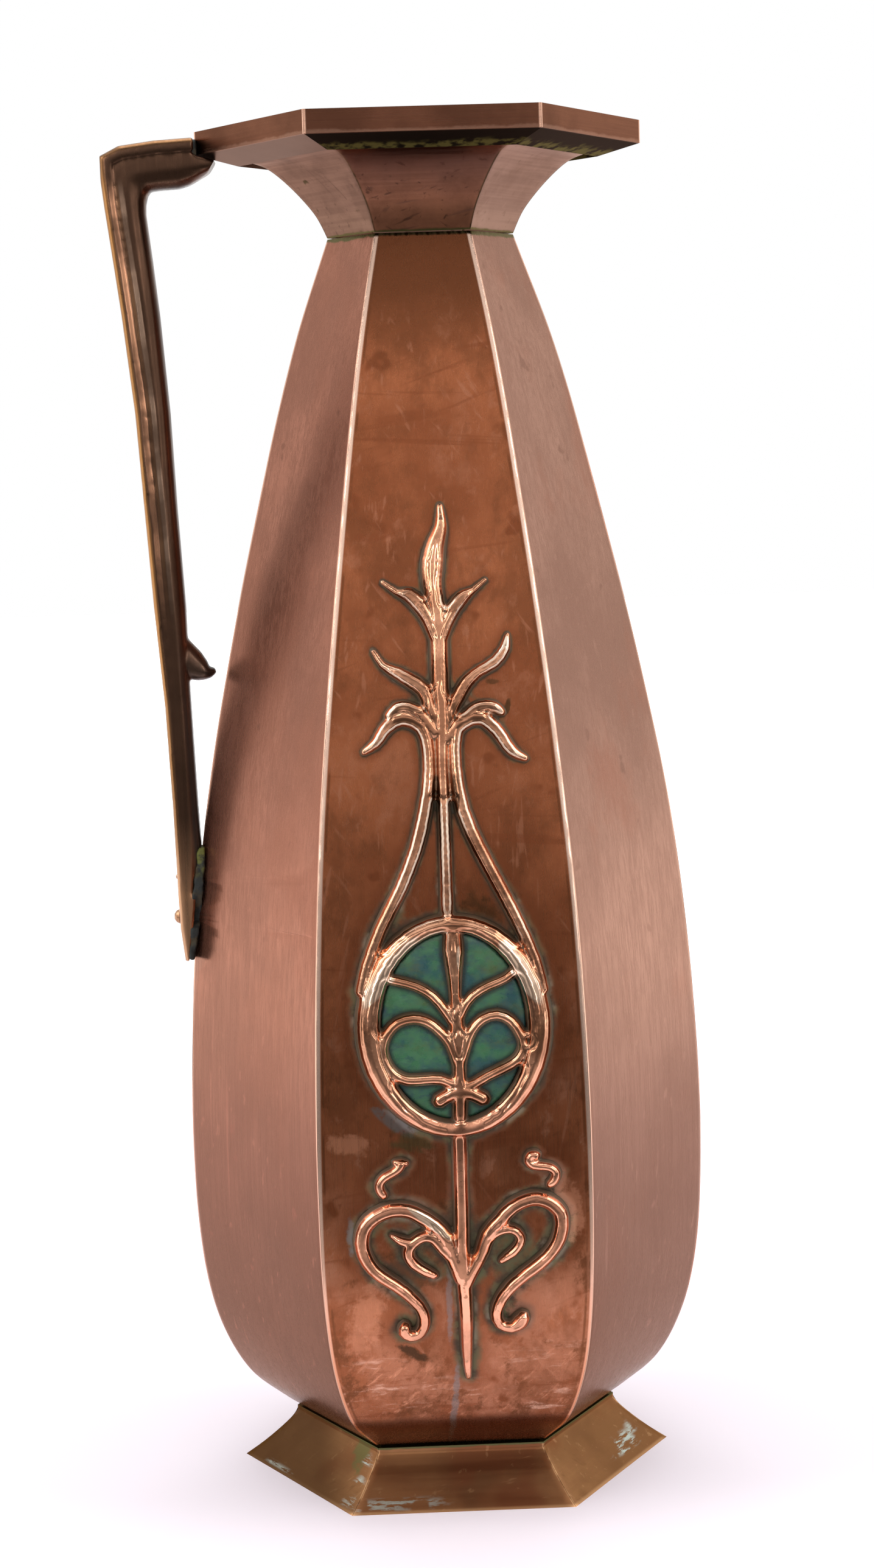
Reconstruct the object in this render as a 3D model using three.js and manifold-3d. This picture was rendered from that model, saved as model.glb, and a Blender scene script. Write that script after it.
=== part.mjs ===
// Copper ewer: a six-sided vessel of mitred and soldered copper gores, with a flared lip, a folded
// rim, a hemmed foot, a two-piece handle on one corner and an applied relief over an enamel plaque.
// Millimetres, +Z up. The front panel faces -Y, and the handle stands on the -X corner.

import * as THREE from "three";
import { mergeVertices } from "three/addons/utils/BufferGeometryUtils.js";
import Module from "manifold-3d";

const wasm = await Module();
wasm.setup();

// Sheet, seams and seats
const sheet = 1.0;
const seam = 0.1;
const seat = 0.3;
const sides = 6;
const halfSide = Math.PI / sides;
const toFlat = Math.cos(halfSide);

// Body: radius at the corners against height above its low end, stretched to end at the neck
const baseZ = 12.3;
const bellyKnots = [
  [47.0, 3.0], [50.2, 5.3], [59.4, 12.7], [67.6, 27.7], [72.1, 47.7], [73.6, 82.7],
  [72.5, 117.7], [67.8, 167.7], [58.7, 217.7], [47.2, 267.7], [36.5, 307.7], [26.0, 337.3],
];
const bodySteps = 38;

// Lip flare: reach beyond the neck, stretched to end in the rim's fold, against depth below that end
const lipRise = 25.7;
const lipKnots = [
  [2.6, 19.8], [5.6, 15.8], [9.2, 11.8], [13.5, 7.8], [17.2, 5.3], [22.4, 3.7], [34.5, 0.0],
];
const lipSteps = 14;

// Rim strip: a band with a leg over the lip and a leg under it
const rimR = 62.0;
const rimTopZ = 380.0;
const rimBand = 6.3;
const rimTopLeg = 5.8;
const rimUnderLeg = 10.7;
const rimUnderDrop = 3.4;

// Foot: radius at the corners from the collar down to the standing edge
const footR = 61.8;
const collarR = 46.3;
const collarTopZ = 14.2;
const collarWall = 1.4;
const footKnots = [[48.3, 10.3], [52.7, 6.5], [56.9, 3.2]];
const hemWidth = 4.3;

// Handle, drawn from the side: reach beyond the rim's corner against depth below the rim's top
const strapOuter = [
  [0.4, 2.0], [11.0, 2.6], [20.7, 3.8], [26.0, 6.4], [25.9, 12.0], [25.1, 20.0], [23.2, 36.0],
  [21.6, 50.0], [19.0, 77.0], [17.5, 104.5], [16.0, 132.0], [14.1, 159.5], [13.1, 187.4], [12.6, 213.6],
];
const strapThickTop = 3.2;
const strapThickLow = 1.2;
const strapHalfTop = 6.0;
const strapHalfLow = 4.2;
const strapBevel = 1.1;

// Its tail, with its thickness as a third number
const tailOuter = [[12.6, 213.7, 4.7], [12.3, 223.0, 3.3], [11.3, 232.4, 0.9]];

// Its grip: the block under the rim, two rows below the arm, a row for each later strap point
const gripHead = [[-5.4, 8.3, -3.4, 11.4], [-0.8, 7.1, -0.4, 13.2]];
const gripArm = [[0.1, 1.8, 14.4], [0.4, 4.5, 15.2]];
const gripInner = [
  [9.8, 15.5], [12.6, 15.8], [13.6, 17.2], [14.2, 19.6], [14.3, 22.3], [12.9, 36.0], [11.6, 50.2],
  [9.8, 77.3], [8.9, 104.5], [7.6, 132.0], [7.2, 160.0], [6.4, 187.6],
];
const gripSeatDepths = [199.0, 213.3];
const gripNarrower = 0.6;
const gripLeast = 1.0;
const spurPath = [[11.0, 139.0, 2.0], [9.0, 144.0, 3.6], [6.7, 147.6, 4.2], [4.0, 149.4, 3.2],
  [1.8, 150.2, 1.7], [0.0, 149.7, 0.6]];
const spurSides = 12;
const spurHalfWidth = 3.4;
const spurFlat = 0.35;

// Fasteners through the handle and the corner of the body: height above the tail's tip, shank and
// head radii, rise
const rivet = { up: 12.4, shank: 1.1, head: 2.1, rise: 1.5 };
const pin = { up: 23.9, shank: 0.6, head: 0.75, rise: 0.4 };
const fastenerClearance = 0.15;
const burrSpread = 1.35;
const burrRise = 0.8;

// Relief on the front panel
const relief = 2.9;
const reliefSlope = 1.5;
const reliefLeast = 0.4;
const strokeSpan = 2.8;
const spansPerKnot = 2;
const tipReach = 0.7;
const tipShare = 0.45;
const backLift = 0.02;
const backLifts = 11;
const frameU = 0.8;
const frameZ = 138.2;
const openingU = 20.0;
const openingZ = 25.4;
const frameWallSide = 6.4;
const frameWallEnd = 4.6;
const frameHeight = 4.3;
const frameSteps = 48;
const enamelThick = 1.2;
const enamelDome = 0.4;
const enamelRows = 16;

// Colours, as seen in daylight
const copper = { color: 0x9c5f48, roughness: 0.42, metalness: 0.9 };
const copperFront = { color: 0x6f3a2a, roughness: 0.4, metalness: 0.9 };
const lipCopper = { color: 0x7a5240, roughness: 0.45, metalness: 0.85 };
const footCopper = { color: 0x6d5a38, roughness: 0.5, metalness: 0.8 };
const handleBronze = { color: 0x4a3527, roughness: 0.45, metalness: 0.85 };
const ornamentCopper = { color: 0xb9785a, roughness: 0.3, metalness: 0.9 };
const enamelGreen = { color: 0x3f7d78, roughness: 0.35, metalness: 0.0 };

// A closed mesh from points and triangles, turned so that its faces point out
function closedMesh(points, triangles) {
  const position = new Float32Array(points.length * 3);
  points.forEach((point, i) => point.toArray(position, i * 3));
  let volume = 0;
  for (const [a, b, c] of triangles) {
    volume += points[a].dot(new THREE.Vector3().crossVectors(points[b], points[c]));
  }
  const index = triangles.flatMap(([a, b, c]) => (volume > 0 ? [a, b, c] : [a, c, b]));
  const geometry = new THREE.BufferGeometry();
  geometry.setAttribute("position", new THREE.BufferAttribute(position, 3));
  geometry.setIndex(index);
  geometry.computeVertexNormals();
  return geometry;
}

// Smooth curve through knots of two or three numbers
function smooth(knots, steps) {
  const points = knots.map(([a, b, c = 0]) => new THREE.Vector3(a, b, c));
  const curve = new THREE.CatmullRomCurve3(points, false, "centripetal");
  return curve.getPoints(steps).map((p) => p.toArray());
}

// Path moved sideways by a distance, mitred at its corners
function offsetPath(path, distance) {
  return path.map(([x, y], i) => {
    const before = path[Math.max(i - 1, 0)];
    const after = path[Math.min(i + 1, path.length - 1)];
    const along = new THREE.Vector2(x - before[0], y - before[1]).normalize();
    const onward = new THREE.Vector2(after[0] - x, after[1] - y).normalize();
    const mean = along.clone().add(onward).normalize();
    const turn = Math.max(mean.dot(along.length() > 0 ? along : onward), 0.5);
    const d = (typeof distance === "function" ? distance([x, y]) : distance) / turn;
    return [x - mean.y * d, y + mean.x * d];
  });
}

// Value on a path at a height, between the path's own points
function pathAt(path, z) {
  const rising = path[path.length - 1][1] > path[0][1];
  const ordered = rising ? path : [...path].reverse();
  let i = ordered.findIndex((p) => p[1] >= z);
  i = i < 1 ? (i === 0 ? 1 : ordered.length - 1) : i;
  const [x0, z0] = ordered[i - 1];
  const [x1, z1] = ordered[i];
  const share = (z - z0) / (z1 - z0);
  return { x: x0 + (x1 - x0) * share, slope: Math.atan2(x1 - x0, z1 - z0) };
}

// One sixth of the vessel: a section in the plane of the panel's middle, cut by the two mitre planes
function gore(section) {
  const cut = seam / 2 / Math.cos(halfSide);
  const points = [];
  for (const side of [-1, 1]) {
    for (const [a, z] of section) {
      points.push(new THREE.Vector3(side * (a * Math.tan(halfSide) - cut), -a, z));
    }
  }
  const count = section.length;
  const triangles = [];
  section.forEach((unused, i) => {
    const next = (i + 1) % count;
    triangles.push([i, next, count + next], [i, count + next, count + i]);
  });
  const contour = section.map(([a, z]) => new THREE.Vector2(a, z));
  const area = THREE.ShapeUtils.area(contour);
  for (const [a, b, c] of THREE.ShapeUtils.triangulateShape(contour, [])) {
    triangles.push(area > 0 ? [a, c, b] : [a, b, c]);
    triangles.push(area > 0 ? [count + a, count + b, count + c] : [count + a, count + c, count + b]);
  }
  return matchedMesh(points, triangles);
}

// A closed mesh whose triangles are first turned alike, each to the neighbour it shares an edge with
function matchedMesh(points, triangles) {
  const edges = new Map();
  triangles.forEach((triangle, t) => {
    triangle.forEach((a, k) => {
      const b = triangle[(k + 1) % 3];
      const key = a < b ? `${a},${b}` : `${b},${a}`;
      edges.set(key, [...(edges.get(key) ?? []), t]);
    });
  });
  const done = new Set([0]);
  const queue = [0];
  while (queue.length > 0) {
    const t = queue.pop();
    triangles[t].forEach((a, k) => {
      const b = triangles[t][(k + 1) % 3];
      const key = a < b ? `${a},${b}` : `${b},${a}`;
      for (const other of edges.get(key)) {
        if (done.has(other)) continue;
        const [p, q, r] = triangles[other];
        const alike = [[p, q], [q, r], [r, p]].some(([m, n]) => m === a && n === b);
        if (alike) triangles[other] = [p, r, q];
        done.add(other);
        queue.push(other);
      }
    });
  }
  return closedMesh(points, triangles);
}

// Solid through a row of rings with equal counts of points; a loop joins its last ring to its first
function loft(rings, loop = false) {
  const count = rings[0].length;
  const points = rings.flat();
  const triangles = [];
  const spans = loop ? rings.length : rings.length - 1;
  for (let r = 0; r < spans; r += 1) {
    const here = r * count;
    const there = ((r + 1) % rings.length) * count;
    for (let i = 0; i < count; i += 1) {
      const next = (i + 1) % count;
      triangles.push([here + i, here + next, there + next], [here + i, there + next, there + i]);
    }
  }
  if (!loop) {
    const last = (rings.length - 1) * count;
    for (let i = 1; i < count - 1; i += 1) {
      triangles.push([0, i + 1, i], [last, last + i, last + i + 1]);
    }
  }
  return closedMesh(points, triangles);
}

function toSolid(geometry) {
  const bare = geometry.clone();
  for (const name of ["normal", "uv"]) bare.deleteAttribute(name);
  const merged = mergeVertices(bare, 1e-4);
  return new wasm.Manifold(new wasm.Mesh({
    numProp: 3,
    vertProperties: new Float32Array(merged.attributes.position.array),
    triVerts: new Uint32Array(merged.index.array),
  }));
}

function toGeometry(solid) {
  const mesh = solid.getMesh();
  const geometry = new THREE.BufferGeometry();
  geometry.setAttribute("position", new THREE.BufferAttribute(mesh.vertProperties, 3));
  geometry.setIndex(new THREE.BufferAttribute(mesh.triVerts, 1));
  geometry.computeVertexNormals();
  return geometry;
}

const joined = (geometries) => toGeometry(geometries.map(toSolid).reduce((a, b) => a.add(b)));
const cutBy = (geometry, cutters) =>
  toGeometry(cutters.map(toSolid).reduce((a, b) => a.subtract(b), toSolid(geometry)));

// Corner radii become distances of the flat panels, where thickness is true
const flatPath = (knots) => knots.map(([r, z]) => [r * toFlat, z]);
const sheetSection = (outer, inner) => [...outer, ...[...inner].reverse()];

// Heights that follow from the rim's top
const rimFloorZ = rimTopZ - rimBand;
const lipEndZ = rimFloorZ + sheet + 2 * seat;
const neckZ = lipEndZ - lipRise;

// Body panels
const [neckR, bellyHeight] = bellyKnots[bellyKnots.length - 1];
const stretch = (neckZ - baseZ) / bellyHeight;
const tailFlat = collarR * toFlat - sheet - seat;
const bodyOuter = [
  [tailFlat, baseZ],
  [tailFlat, collarTopZ + seat],
  ...smooth(flatPath(bellyKnots.map(([r, up]) => [r, baseZ + up * stretch])), bodySteps),
];
const bodyInner = offsetPath(bodyOuter, sheet);
const bodyPanel = gore(sheetSection(bodyOuter, bodyInner));
const cornerAt = (z) => pathAt(bodyOuter, z).x / toFlat;

// Lip panels, from just above the neck seam into the fold of the rim strip
const lipEndR = rimR - (sheet + seat) / toFlat;
const lipStretch = (lipEndR - neckR) / lipKnots[lipKnots.length - 1][0];
const lipRows = lipKnots.map(([reach, depth]) => [neckR + reach * lipStretch, lipEndZ - depth]);
const lipOuter = smooth(flatPath([[neckR, neckZ + seat], ...lipRows]), lipSteps);
const lipPanel = gore(sheetSection(lipOuter, offsetPath(lipOuter, sheet)));

// Rim strips
const rimFlat = rimR * toFlat;
const rimSection = [
  [rimFlat, rimFloorZ],
  [rimFlat, rimTopZ],
  [rimFlat - rimTopLeg, rimTopZ],
  [rimFlat - rimTopLeg, rimTopZ - sheet],
  [rimFlat - sheet, rimTopZ - sheet],
  [rimFlat - sheet, rimFloorZ + sheet],
  [rimFlat - rimUnderLeg, rimFloorZ + sheet - rimUnderDrop],
  [rimFlat - rimUnderLeg + seat, rimFloorZ - rimUnderDrop],
];
const rimStrip = gore(rimSection);

// Foot panels, with the hem turned in flat to stand on
const footOuter = [
  ...flatPath([[footR, 0.0]]),
  ...flatPath([...footKnots].reverse()),
  ...flatPath([[collarR, collarTopZ - collarWall], [collarR, collarTopZ]]),
];
const footInner = offsetPath(footOuter, sheet);
const footWallFoot = pathAt(footInner, sheet).x;
const footPanel = gore([
  ...footOuter,
  ...[...footInner].slice(1).reverse(),
  [footWallFoot, sheet],
  [footR * toFlat - hemWidth, sheet],
  [footR * toFlat - hemWidth, 0.0],
]);

// Base plate inside the lower end of the body
const basePlateR = (tailFlat - sheet - seat) / toFlat;
const basePlate = new THREE.CylinderGeometry(basePlateR, basePlateR, sheet, sides);
basePlate.rotateY(Math.PI / 2);
basePlate.rotateX(Math.PI / 2);
basePlate.translate(0, 0, baseZ + sheet / 2);

// Handle strap: a bar with bevelled outer edges, seated on the body's corner below its shoulder
const fromRim = ([reach, depth]) => [rimR + reach, rimTopZ - depth];
const seatAt = (z) => cornerAt(z) + seat;
const clearOfBody = ([x, z], least) => [Math.max(x, seatAt(z) + least), z];
const strapPath = strapOuter.map(fromRim).map((p) => clearOfBody(p, gripLeast + seat + strapThickLow));
const tailPath = tailOuter.map(fromRim).map((p) => clearOfBody(p, strapThickLow));
const tailTipZ = tailPath[tailPath.length - 1][1];
const handleTop = strapPath[3][1];
const handleLow = strapPath[strapPath.length - 1][1];
const shareUp = (z) => THREE.MathUtils.clamp((z - handleLow) / (handleTop - handleLow), 0, 1);
const strapThick = ([, z]) => THREE.MathUtils.lerp(strapThickLow, strapThickTop, shareUp(z));
const strapHalf = (z) => THREE.MathUtils.lerp(strapHalfLow, strapHalfTop, shareUp(z));
const strapInner = offsetPath(strapPath, (point) => -strapThick(point));

function barRing([ox, oz], [ix, iz], half) {
  const bevel = strapBevel / Math.hypot(ox - ix, oz - iz);
  const bx = ox + (ix - ox) * bevel;
  const bz = oz + (iz - oz) * bevel;
  return [
    new THREE.Vector3(-ox, -(half - strapBevel), oz),
    new THREE.Vector3(-ox, half - strapBevel, oz),
    new THREE.Vector3(-bx, half, bz),
    new THREE.Vector3(-ix, half, iz),
    new THREE.Vector3(-ix, -half, iz),
    new THREE.Vector3(-bx, -half, bz),
  ];
}

const strapRings = strapPath.map((point, i) => barRing(point, strapInner[i], strapHalf(point[1])));
const tailRings = tailPath.map(([x, z], i) =>
  barRing([x, z], clearOfBody([x - tailOuter[i][2], z], 0), strapHalfLow));
const strapBar = loft([...strapRings, ...tailRings]);

// Handle grip: a rib between the strap and the hand, flat-sided and rounded inside, with its spur
const gripShares = [[0, 0.92], [0.08, 1], [0.5, 1], [0.8, 0.82], [0.96, 0.5], [1, 0.15]];

function ribRing([ox, oz], [ix, iz], half) {
  const right = gripShares.map(([across, wide]) =>
    new THREE.Vector3(-(ox + (ix - ox) * across), wide * half, oz + (iz - oz) * across));
  const left = right.map((p) => new THREE.Vector3(p.x, -p.y, p.z)).reverse();
  return [...right, ...left];
}

function roundRing([ox, oz], [ix, iz], half) {
  const ring = [];
  for (let i = 0; i < spurSides; i += 1) {
    const angle = (2 * Math.PI * i) / spurSides;
    const across = (1 - Math.cos(angle)) / 2;
    ring.push(new THREE.Vector3(-(ox + (ix - ox) * across), half * Math.sin(angle),
      oz + (iz - oz) * across));
  }
  return ring;
}

const gripBack = offsetPath(strapPath, (point) => -strapThick(point) - seat);
const gripBackAt = (z) => pathAt(gripBack.slice(4), z).x;
const between = (a, b, share) => a.map((value, i) => THREE.MathUtils.lerp(value, b[i], share));
const gripRows = [
  ...gripHead.map(([ox, outer, ix, inner]) => [fromRim([ox, outer]), fromRim([ix, inner])]),
  ...gripArm.map(([share, ...inner]) => [between(gripBack[0], gripBack[1], share), fromRim(inner)]),
  ...gripInner.map(fromRim).map((inner, i) => [gripBack[i + 1], clearOfBody(inner, 0)]),
  ...gripSeatDepths.map((depth) => rimTopZ - depth).map((z) => [[gripBackAt(z), z], [seatAt(z), z]]),
];
const gripHalf = (z) => strapHalf(z) - gripNarrower * shareUp(z);
const gripRib = loft(gripRows.map(([outer, inner]) => ribRing(outer, inner, gripHalf(outer[1]))));

function spurRings() {
  const rows = spurPath.map(([reach, depth, half]) => [...fromRim([reach, depth]), half]);
  const path = smooth(rows, 2 * rows.length);
  return path.map(([x, z, half], i) => {
    const before = path[Math.max(i - 1, 0)];
    const after = path[Math.min(i + 1, path.length - 1)];
    const along = new THREE.Vector2(after[0] - before[0], after[1] - before[1]).normalize();
    const outer = [x - along.y * half, z + along.x * half];
    const inner = [x + along.y * half, z - along.x * half];
    return roundRing(outer, inner, Math.min(spurHalfWidth, spurHalfWidth * spurFlat + half));
  });
}
const gripWithSpur = joined([gripRib, loft(spurRings())]);

// Fasteners lie along X through the corner: a shank, a domed head outside and a burr inside
function alongX(points, z) {
  const shape = new THREE.LatheGeometry(points.map(([r, x]) => new THREE.Vector2(r, x)), 16);
  shape.rotateZ(Math.PI / 2);
  shape.translate(0, 0, z);
  return shape;
}

function fastener({ up, shank, head, rise }) {
  const z = tailTipZ + up;
  const face = pathAt([...strapPath.slice(4), ...tailPath], z).x + seat;
  const inside = cornerAt(z) - (sheet + seat) / toFlat - head * 0.6;
  return alongX([
    [0, inside - burrRise], [shank * burrSpread * 0.8, inside - burrRise],
    [shank * burrSpread, inside], [shank, inside], [shank, face],
    [head, face], [head * 0.8, face + rise * 0.6], [head * 0.4, face + rise], [0, face + rise],
  ], z);
}

function fastenerHole({ up, shank }) {
  const r = shank + fastenerClearance;
  const far = strapPath[4][0];
  return alongX([[0, neckR], [r, neckR], [r, far], [0, far]], tailTipZ + up);
}

const holes = [rivet, pin].map(fastenerHole);
const handleStrap = cutBy(strapBar, holes);
const handleGrip = cutBy(gripWithSpur, holes);

// Relief strokes: points of [across, height, half width], lying on the front panel
const flame = [[1.8, 276, 0.75], [1.8, 270, 1.9], [0.2, 265, 2.8], [-0.7, 260, 3.3], [-0.9, 255, 2.9],
  [-0.2, 250, 2.6], [0.3, 243, 2.6], [0.2, 230, 2.6], [0.4, 220, 2.3], [0, 208, 1.8], [0.1, 190, 1.7],
  [0, 166, 1.9]];
const upperLeaves = [
  [[-14.2, 256, 0.65], [-10.5, 253.3, 1.05], [-7.3, 252.3, 2.2], [-4.8, 249.8, 2.3], [-2.6, 246, 1.9],
    [-0.4, 239.5, 1.3]],
  [[13.2, 255.8, 0.65], [9.8, 253.1, 1.05], [6.8, 251, 2.2], [4.2, 247.8, 2.2], [2.4, 244, 1.9],
    [0.6, 238.5, 1.3]],
  [[-17.4, 238, 0.65], [-15, 234.2, 1.05], [-11.3, 232, 1.8], [-7.5, 229.7, 2.2], [-4.4, 227.3, 2.3],
    [-3, 223.5, 1.9], [-0.8, 217.5, 1.3]],
  [[18.6, 241.3, 0.65], [17.8, 237.5, 1.6], [15, 234, 1.8], [10.5, 231.5, 1.7], [7.3, 228.8, 2],
    [4.9, 225, 2], [3, 221.3, 1.5], [0.9, 216.5, 1.05]],
];
const strands = [
  [[-20.8, 211.3, 0.85], [-17.5, 213.5, 1.55], [-15, 217, 1.95], [-12.5, 219, 2.15], [-10.3, 219.7, 2.15],
    [-7.5, 219, 2.15], [-5.3, 217.3, 2.05], [-4, 214, 1.95], [-3.6, 205, 1.95], [-5.2, 195, 2.15],
    [-8, 185, 2.15], [-12.3, 175, 2.05], [-17.7, 165, 1.95], [-21.8, 155, 1.85], [-23.6, 148, 1.75]],
  [[22.3, 208.3, 0.95], [19.5, 209.8, 1.55], [17.5, 212, 1.85], [15.8, 214.8, 2.05], [13.5, 217.5, 2.15],
    [11, 219.3, 2.15], [8.5, 219.3, 2.15], [6, 218, 2.05], [4.2, 216, 1.95], [3.5, 206.5, 1.95],
    [5.2, 195, 2.15], [9.2, 185, 2.15], [14.2, 175, 2.05], [19, 165, 1.95], [23, 155, 1.85],
    [24.9, 147, 1.75]],
];
const lobes = [
  [[-13.8, 220.3, 1.45], [-11.5, 222.7, 1.65], [-8.5, 222.8, 1.65], [-5.5, 221, 1.65], [-1.4, 215.5, 1.65]],
  [[16.5, 220.6, 1.05], [14.5, 222.1, 1.65], [12, 222.5, 1.65], [9.5, 222, 1.65], [7.5, 220.5, 1.65],
    [4.3, 217.6, 1.65], [1.2, 213.5, 1.55]],
];
const tracery = [
  [[1.1, 166, 2.2], [1.3, 162.5, 2.6], [1.3, 158.5, 2.9], [1.3, 153, 2.2], [1.4, 148, 1.6],
    [1.5, 141.5, 1.7], [1.7, 137, 2.3], [1.9, 130, 1.7], [1.9, 122, 2], [1.6, 110.5, 2]],
  [[-20.5, 152.4, 1.4], [-14, 150.8, 1.3], [-9, 149.3, 1.3], [-4.6, 146.6, 1.3], [-1.6, 142.8, 1.3],
    [1.2, 138.4, 1.3]],
  [[20.6, 155, 1.4], [15, 150.6, 1.3], [10.5, 148.8, 1.3], [6, 146.3, 1.3], [3.2, 142.6, 1.3],
    [1.6, 138.4, 1.3]],
  [[1.5, 128, 1.4], [-0.3, 133.5, 1.4], [-3, 137.2, 1.5], [-6.5, 139.9, 1.5], [-10, 140.7, 1.5],
    [-14, 139.8, 1.5], [-17, 137, 1.5], [-18.6, 133, 1.6], [-17.6, 129, 1.5], [-15.5, 126, 1.5],
    [-12, 124.3, 1.5], [-7.5, 124.3, 1.5], [-3, 124.2, 1.5], [1.2, 122.2, 1.4]],
  [[2.2, 128, 1.4], [3.7, 132.5, 1.4], [5.5, 137, 1.5], [8.5, 140, 1.5], [12.5, 141, 1.5],
    [16, 139.3, 1.5], [18.3, 136, 1.5], [19.4, 132.5, 1.6], [17.6, 129, 1.5], [14, 126.8, 1.5],
    [9.5, 124.8, 1.5], [6, 122.9, 1.5], [2.2, 121.6, 1.4]],
  [[18.4, 135.2, 1.4], [23.2, 135.2, 1.4]],
  [[-3.9, 118.4, 2.1], [-0.8, 120.2, 2], [1.9, 120.7, 2.4], [5, 120.2, 2], [8.2, 118.6, 2.1]],
];
const lowerStem = [[1.4, 110.4, 2.05], [1.35, 90, 2.05], [1.2, 75, 2.05], [1.8, 60, 1.9],
  [1.8, 50, 1.6], [1.9, 44, 1.05], [2.1, 40.5, 0.65]];
const scrolls = [
  [[0.6, 69, 1.7], [-1.2, 75.2, 2.1], [-2.9, 80.8, 2.2], [-6.2, 84.7, 2.4], [-10.1, 87.4, 2.3],
    [-12.9, 88.8, 2.2], [-17.3, 89.1, 2.2], [-21.8, 87.4, 2.2], [-24.6, 84.7, 2.2],
    [-25.7, 80.8, 2.2], [-25.1, 76.9, 2.1], [-22.9, 73, 2], [-19.6, 70.2, 1.9], [-15.7, 67.4, 1.9],
    [-12.3, 64.1, 1.8], [-9.9, 60.8, 1.7], [-9.5, 57.2, 1.7], [-11, 54.4, 1.6],
    [-13.4, 53.9, 1.7], [-14.9, 55.2, 2.1], [-14.7, 56.6, 1.6]],
  [[1.6, 67, 1.7], [4, 72, 2], [6.6, 76.9, 2.1], [8.2, 81.3, 2.2], [11.6, 85.2, 2.2],
    [14.9, 88.6, 2.2], [18.8, 90.5, 2.2], [22.1, 90.8, 2.2], [25.4, 89.4, 2.2], [27.7, 86.9, 2.2],
    [28.2, 83.6, 2.1], [27.4, 79.7, 2.1], [25.4, 76.3, 2], [22.1, 73, 2], [18.2, 70.2, 1.9],
    [14.3, 66.9, 1.9], [11.6, 63.6, 1.8], [10, 59.7, 1.7], [10.8, 56.4, 1.6],
    [13.8, 55.3, 1.7], [16.5, 56.8, 2.4], [17.2, 58.2, 1.9]],
];
const hooks = [
  [[-0.4, 74, 1.55], [-4, 78, 1.65], [-6.2, 80.8, 1.65], [-8.5, 81.6, 1.65], [-10.7, 80.8, 1.65],
    [-12.9, 78.6, 1.65], [-13.2, 76.3, 1.65], [-11.8, 74, 1.55], [-9, 71.9, 1.45], [-6.2, 70.4, 1.05]],
  [[-17.7, 82, 0.65], [-15, 80.4, 1.35], [-11.8, 79.6, 1.55]],
  [[7.6, 78.6, 1.25], [10.2, 81.7, 1.35], [13.8, 82.7, 1.35], [16, 81.9, 1.35], [17.1, 79.7, 1.35],
    [16, 77.4, 1.35], [14.3, 75.8, 1.35], [11.6, 73.8, 0.85]],
];
const curlLeft = [
  [[-19.3, 93, 1.3], [-20.3, 94.6, 1.4], [-20.4, 96.3, 1.4], [-19, 98.1, 1.4], [-16.7, 99.3, 1.4],
    [-14.9, 100.6, 1.4], [-14.3, 101.9, 1.3]],
  [[-16.2, 101.9, 0.9], [-14.6, 101.8, 1.2], [-12.9, 101.6, 0.9]],
];
const curlRight = [
  [[25.2, 94.4, 1.3], [26.5, 95.8, 1.4], [27, 97.6, 1.4], [25.6, 99.1, 1.4], [23.4, 99.6, 1.4],
    [21, 99.9, 1.4], [19.7, 101.2, 1.4], [20.3, 102.7, 1.4], [21.9, 102.6, 1.5]],
];
const roundBackShares = [[-1, 0], [-0.8, 0.6], [-0.32, 0.96], [0.32, 0.96], [0.8, 0.6], [1, 0]];
const frameShares = [[-1, 0], [-0.97, 0.6], [-0.72, 0.92], [-0.2, 1], [0.3, 0.88], [0.75, 0.5], [1, 0]];

// A point of the front panel, raised square to the sheet
function onPanel(u, z, rise) {
  const { x, slope } = pathAt(bodyOuter, z);
  return new THREE.Vector3(u, -(x + rise * Math.cos(slope)), z - rise * Math.sin(slope));
}

function strokeRings(path, section, base, heightAt, loop = false) {
  return path.map(([u, z, half], i) => {
    const last = path.length - 1;
    const before = loop ? path[(i + last) % path.length] : path[Math.max(i - 1, 0)];
    const after = loop ? path[(i + 1) % path.length] : path[Math.min(i + 1, last)];
    const along = new THREE.Vector2(after[0] - before[0], after[1] - before[1]).normalize();
    return section.map(([across, up]) =>
      onPanel(u + along.y * across * half, z - along.x * across * half, base + up * heightAt(half)));
  });
}

// Path through the knots with a small rounded tip added at either end
function strokePath(knots) {
  let length = 0;
  knots.forEach(([u, z], i) => {
    if (i > 0) length += Math.hypot(u - knots[i - 1][0], z - knots[i - 1][1]);
  });
  const stretches = knots.length - 1;
  const spans = Math.max(Math.round(length / strokeSpan / stretches), spansPerKnot);
  const path = smooth(knots, stretches * spans);
  const tip = ([u, z, half], [u2, z2]) => {
    const reach = (tipReach * half) / Math.hypot(u - u2, z - z2);
    return [u + (u - u2) * reach, z + (z - z2) * reach, half * tipShare];
  };
  return [tip(path[0], path[1]), ...path, tip(path[path.length - 1], path[path.length - 2])];
}

function stroke(knots, base = seat) {
  const heightAt = (half) => Math.min(relief, reliefSlope * half + reliefLeast) - (base - seat) / 2;
  return loft(strokeRings(strokePath(knots), roundBackShares, base, heightAt));
}

// The oval frame: a steep inner wall, a rounded back and a longer outer slope
function ovalFrame() {
  const path = [];
  for (let i = 0; i < frameSteps; i += 1) {
    const angle = (2 * Math.PI * i) / frameSteps;
    const half = THREE.MathUtils.lerp(frameWallSide, frameWallEnd, Math.sin(angle) ** 2) / 2;
    path.push([frameU + (openingU + half) * Math.cos(angle),
      frameZ + (openingZ + half) * Math.sin(angle), half]);
  }
  return loft(strokeRings(path, frameShares, seat + backLift / 2, () => frameHeight, true), true);
}

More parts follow.
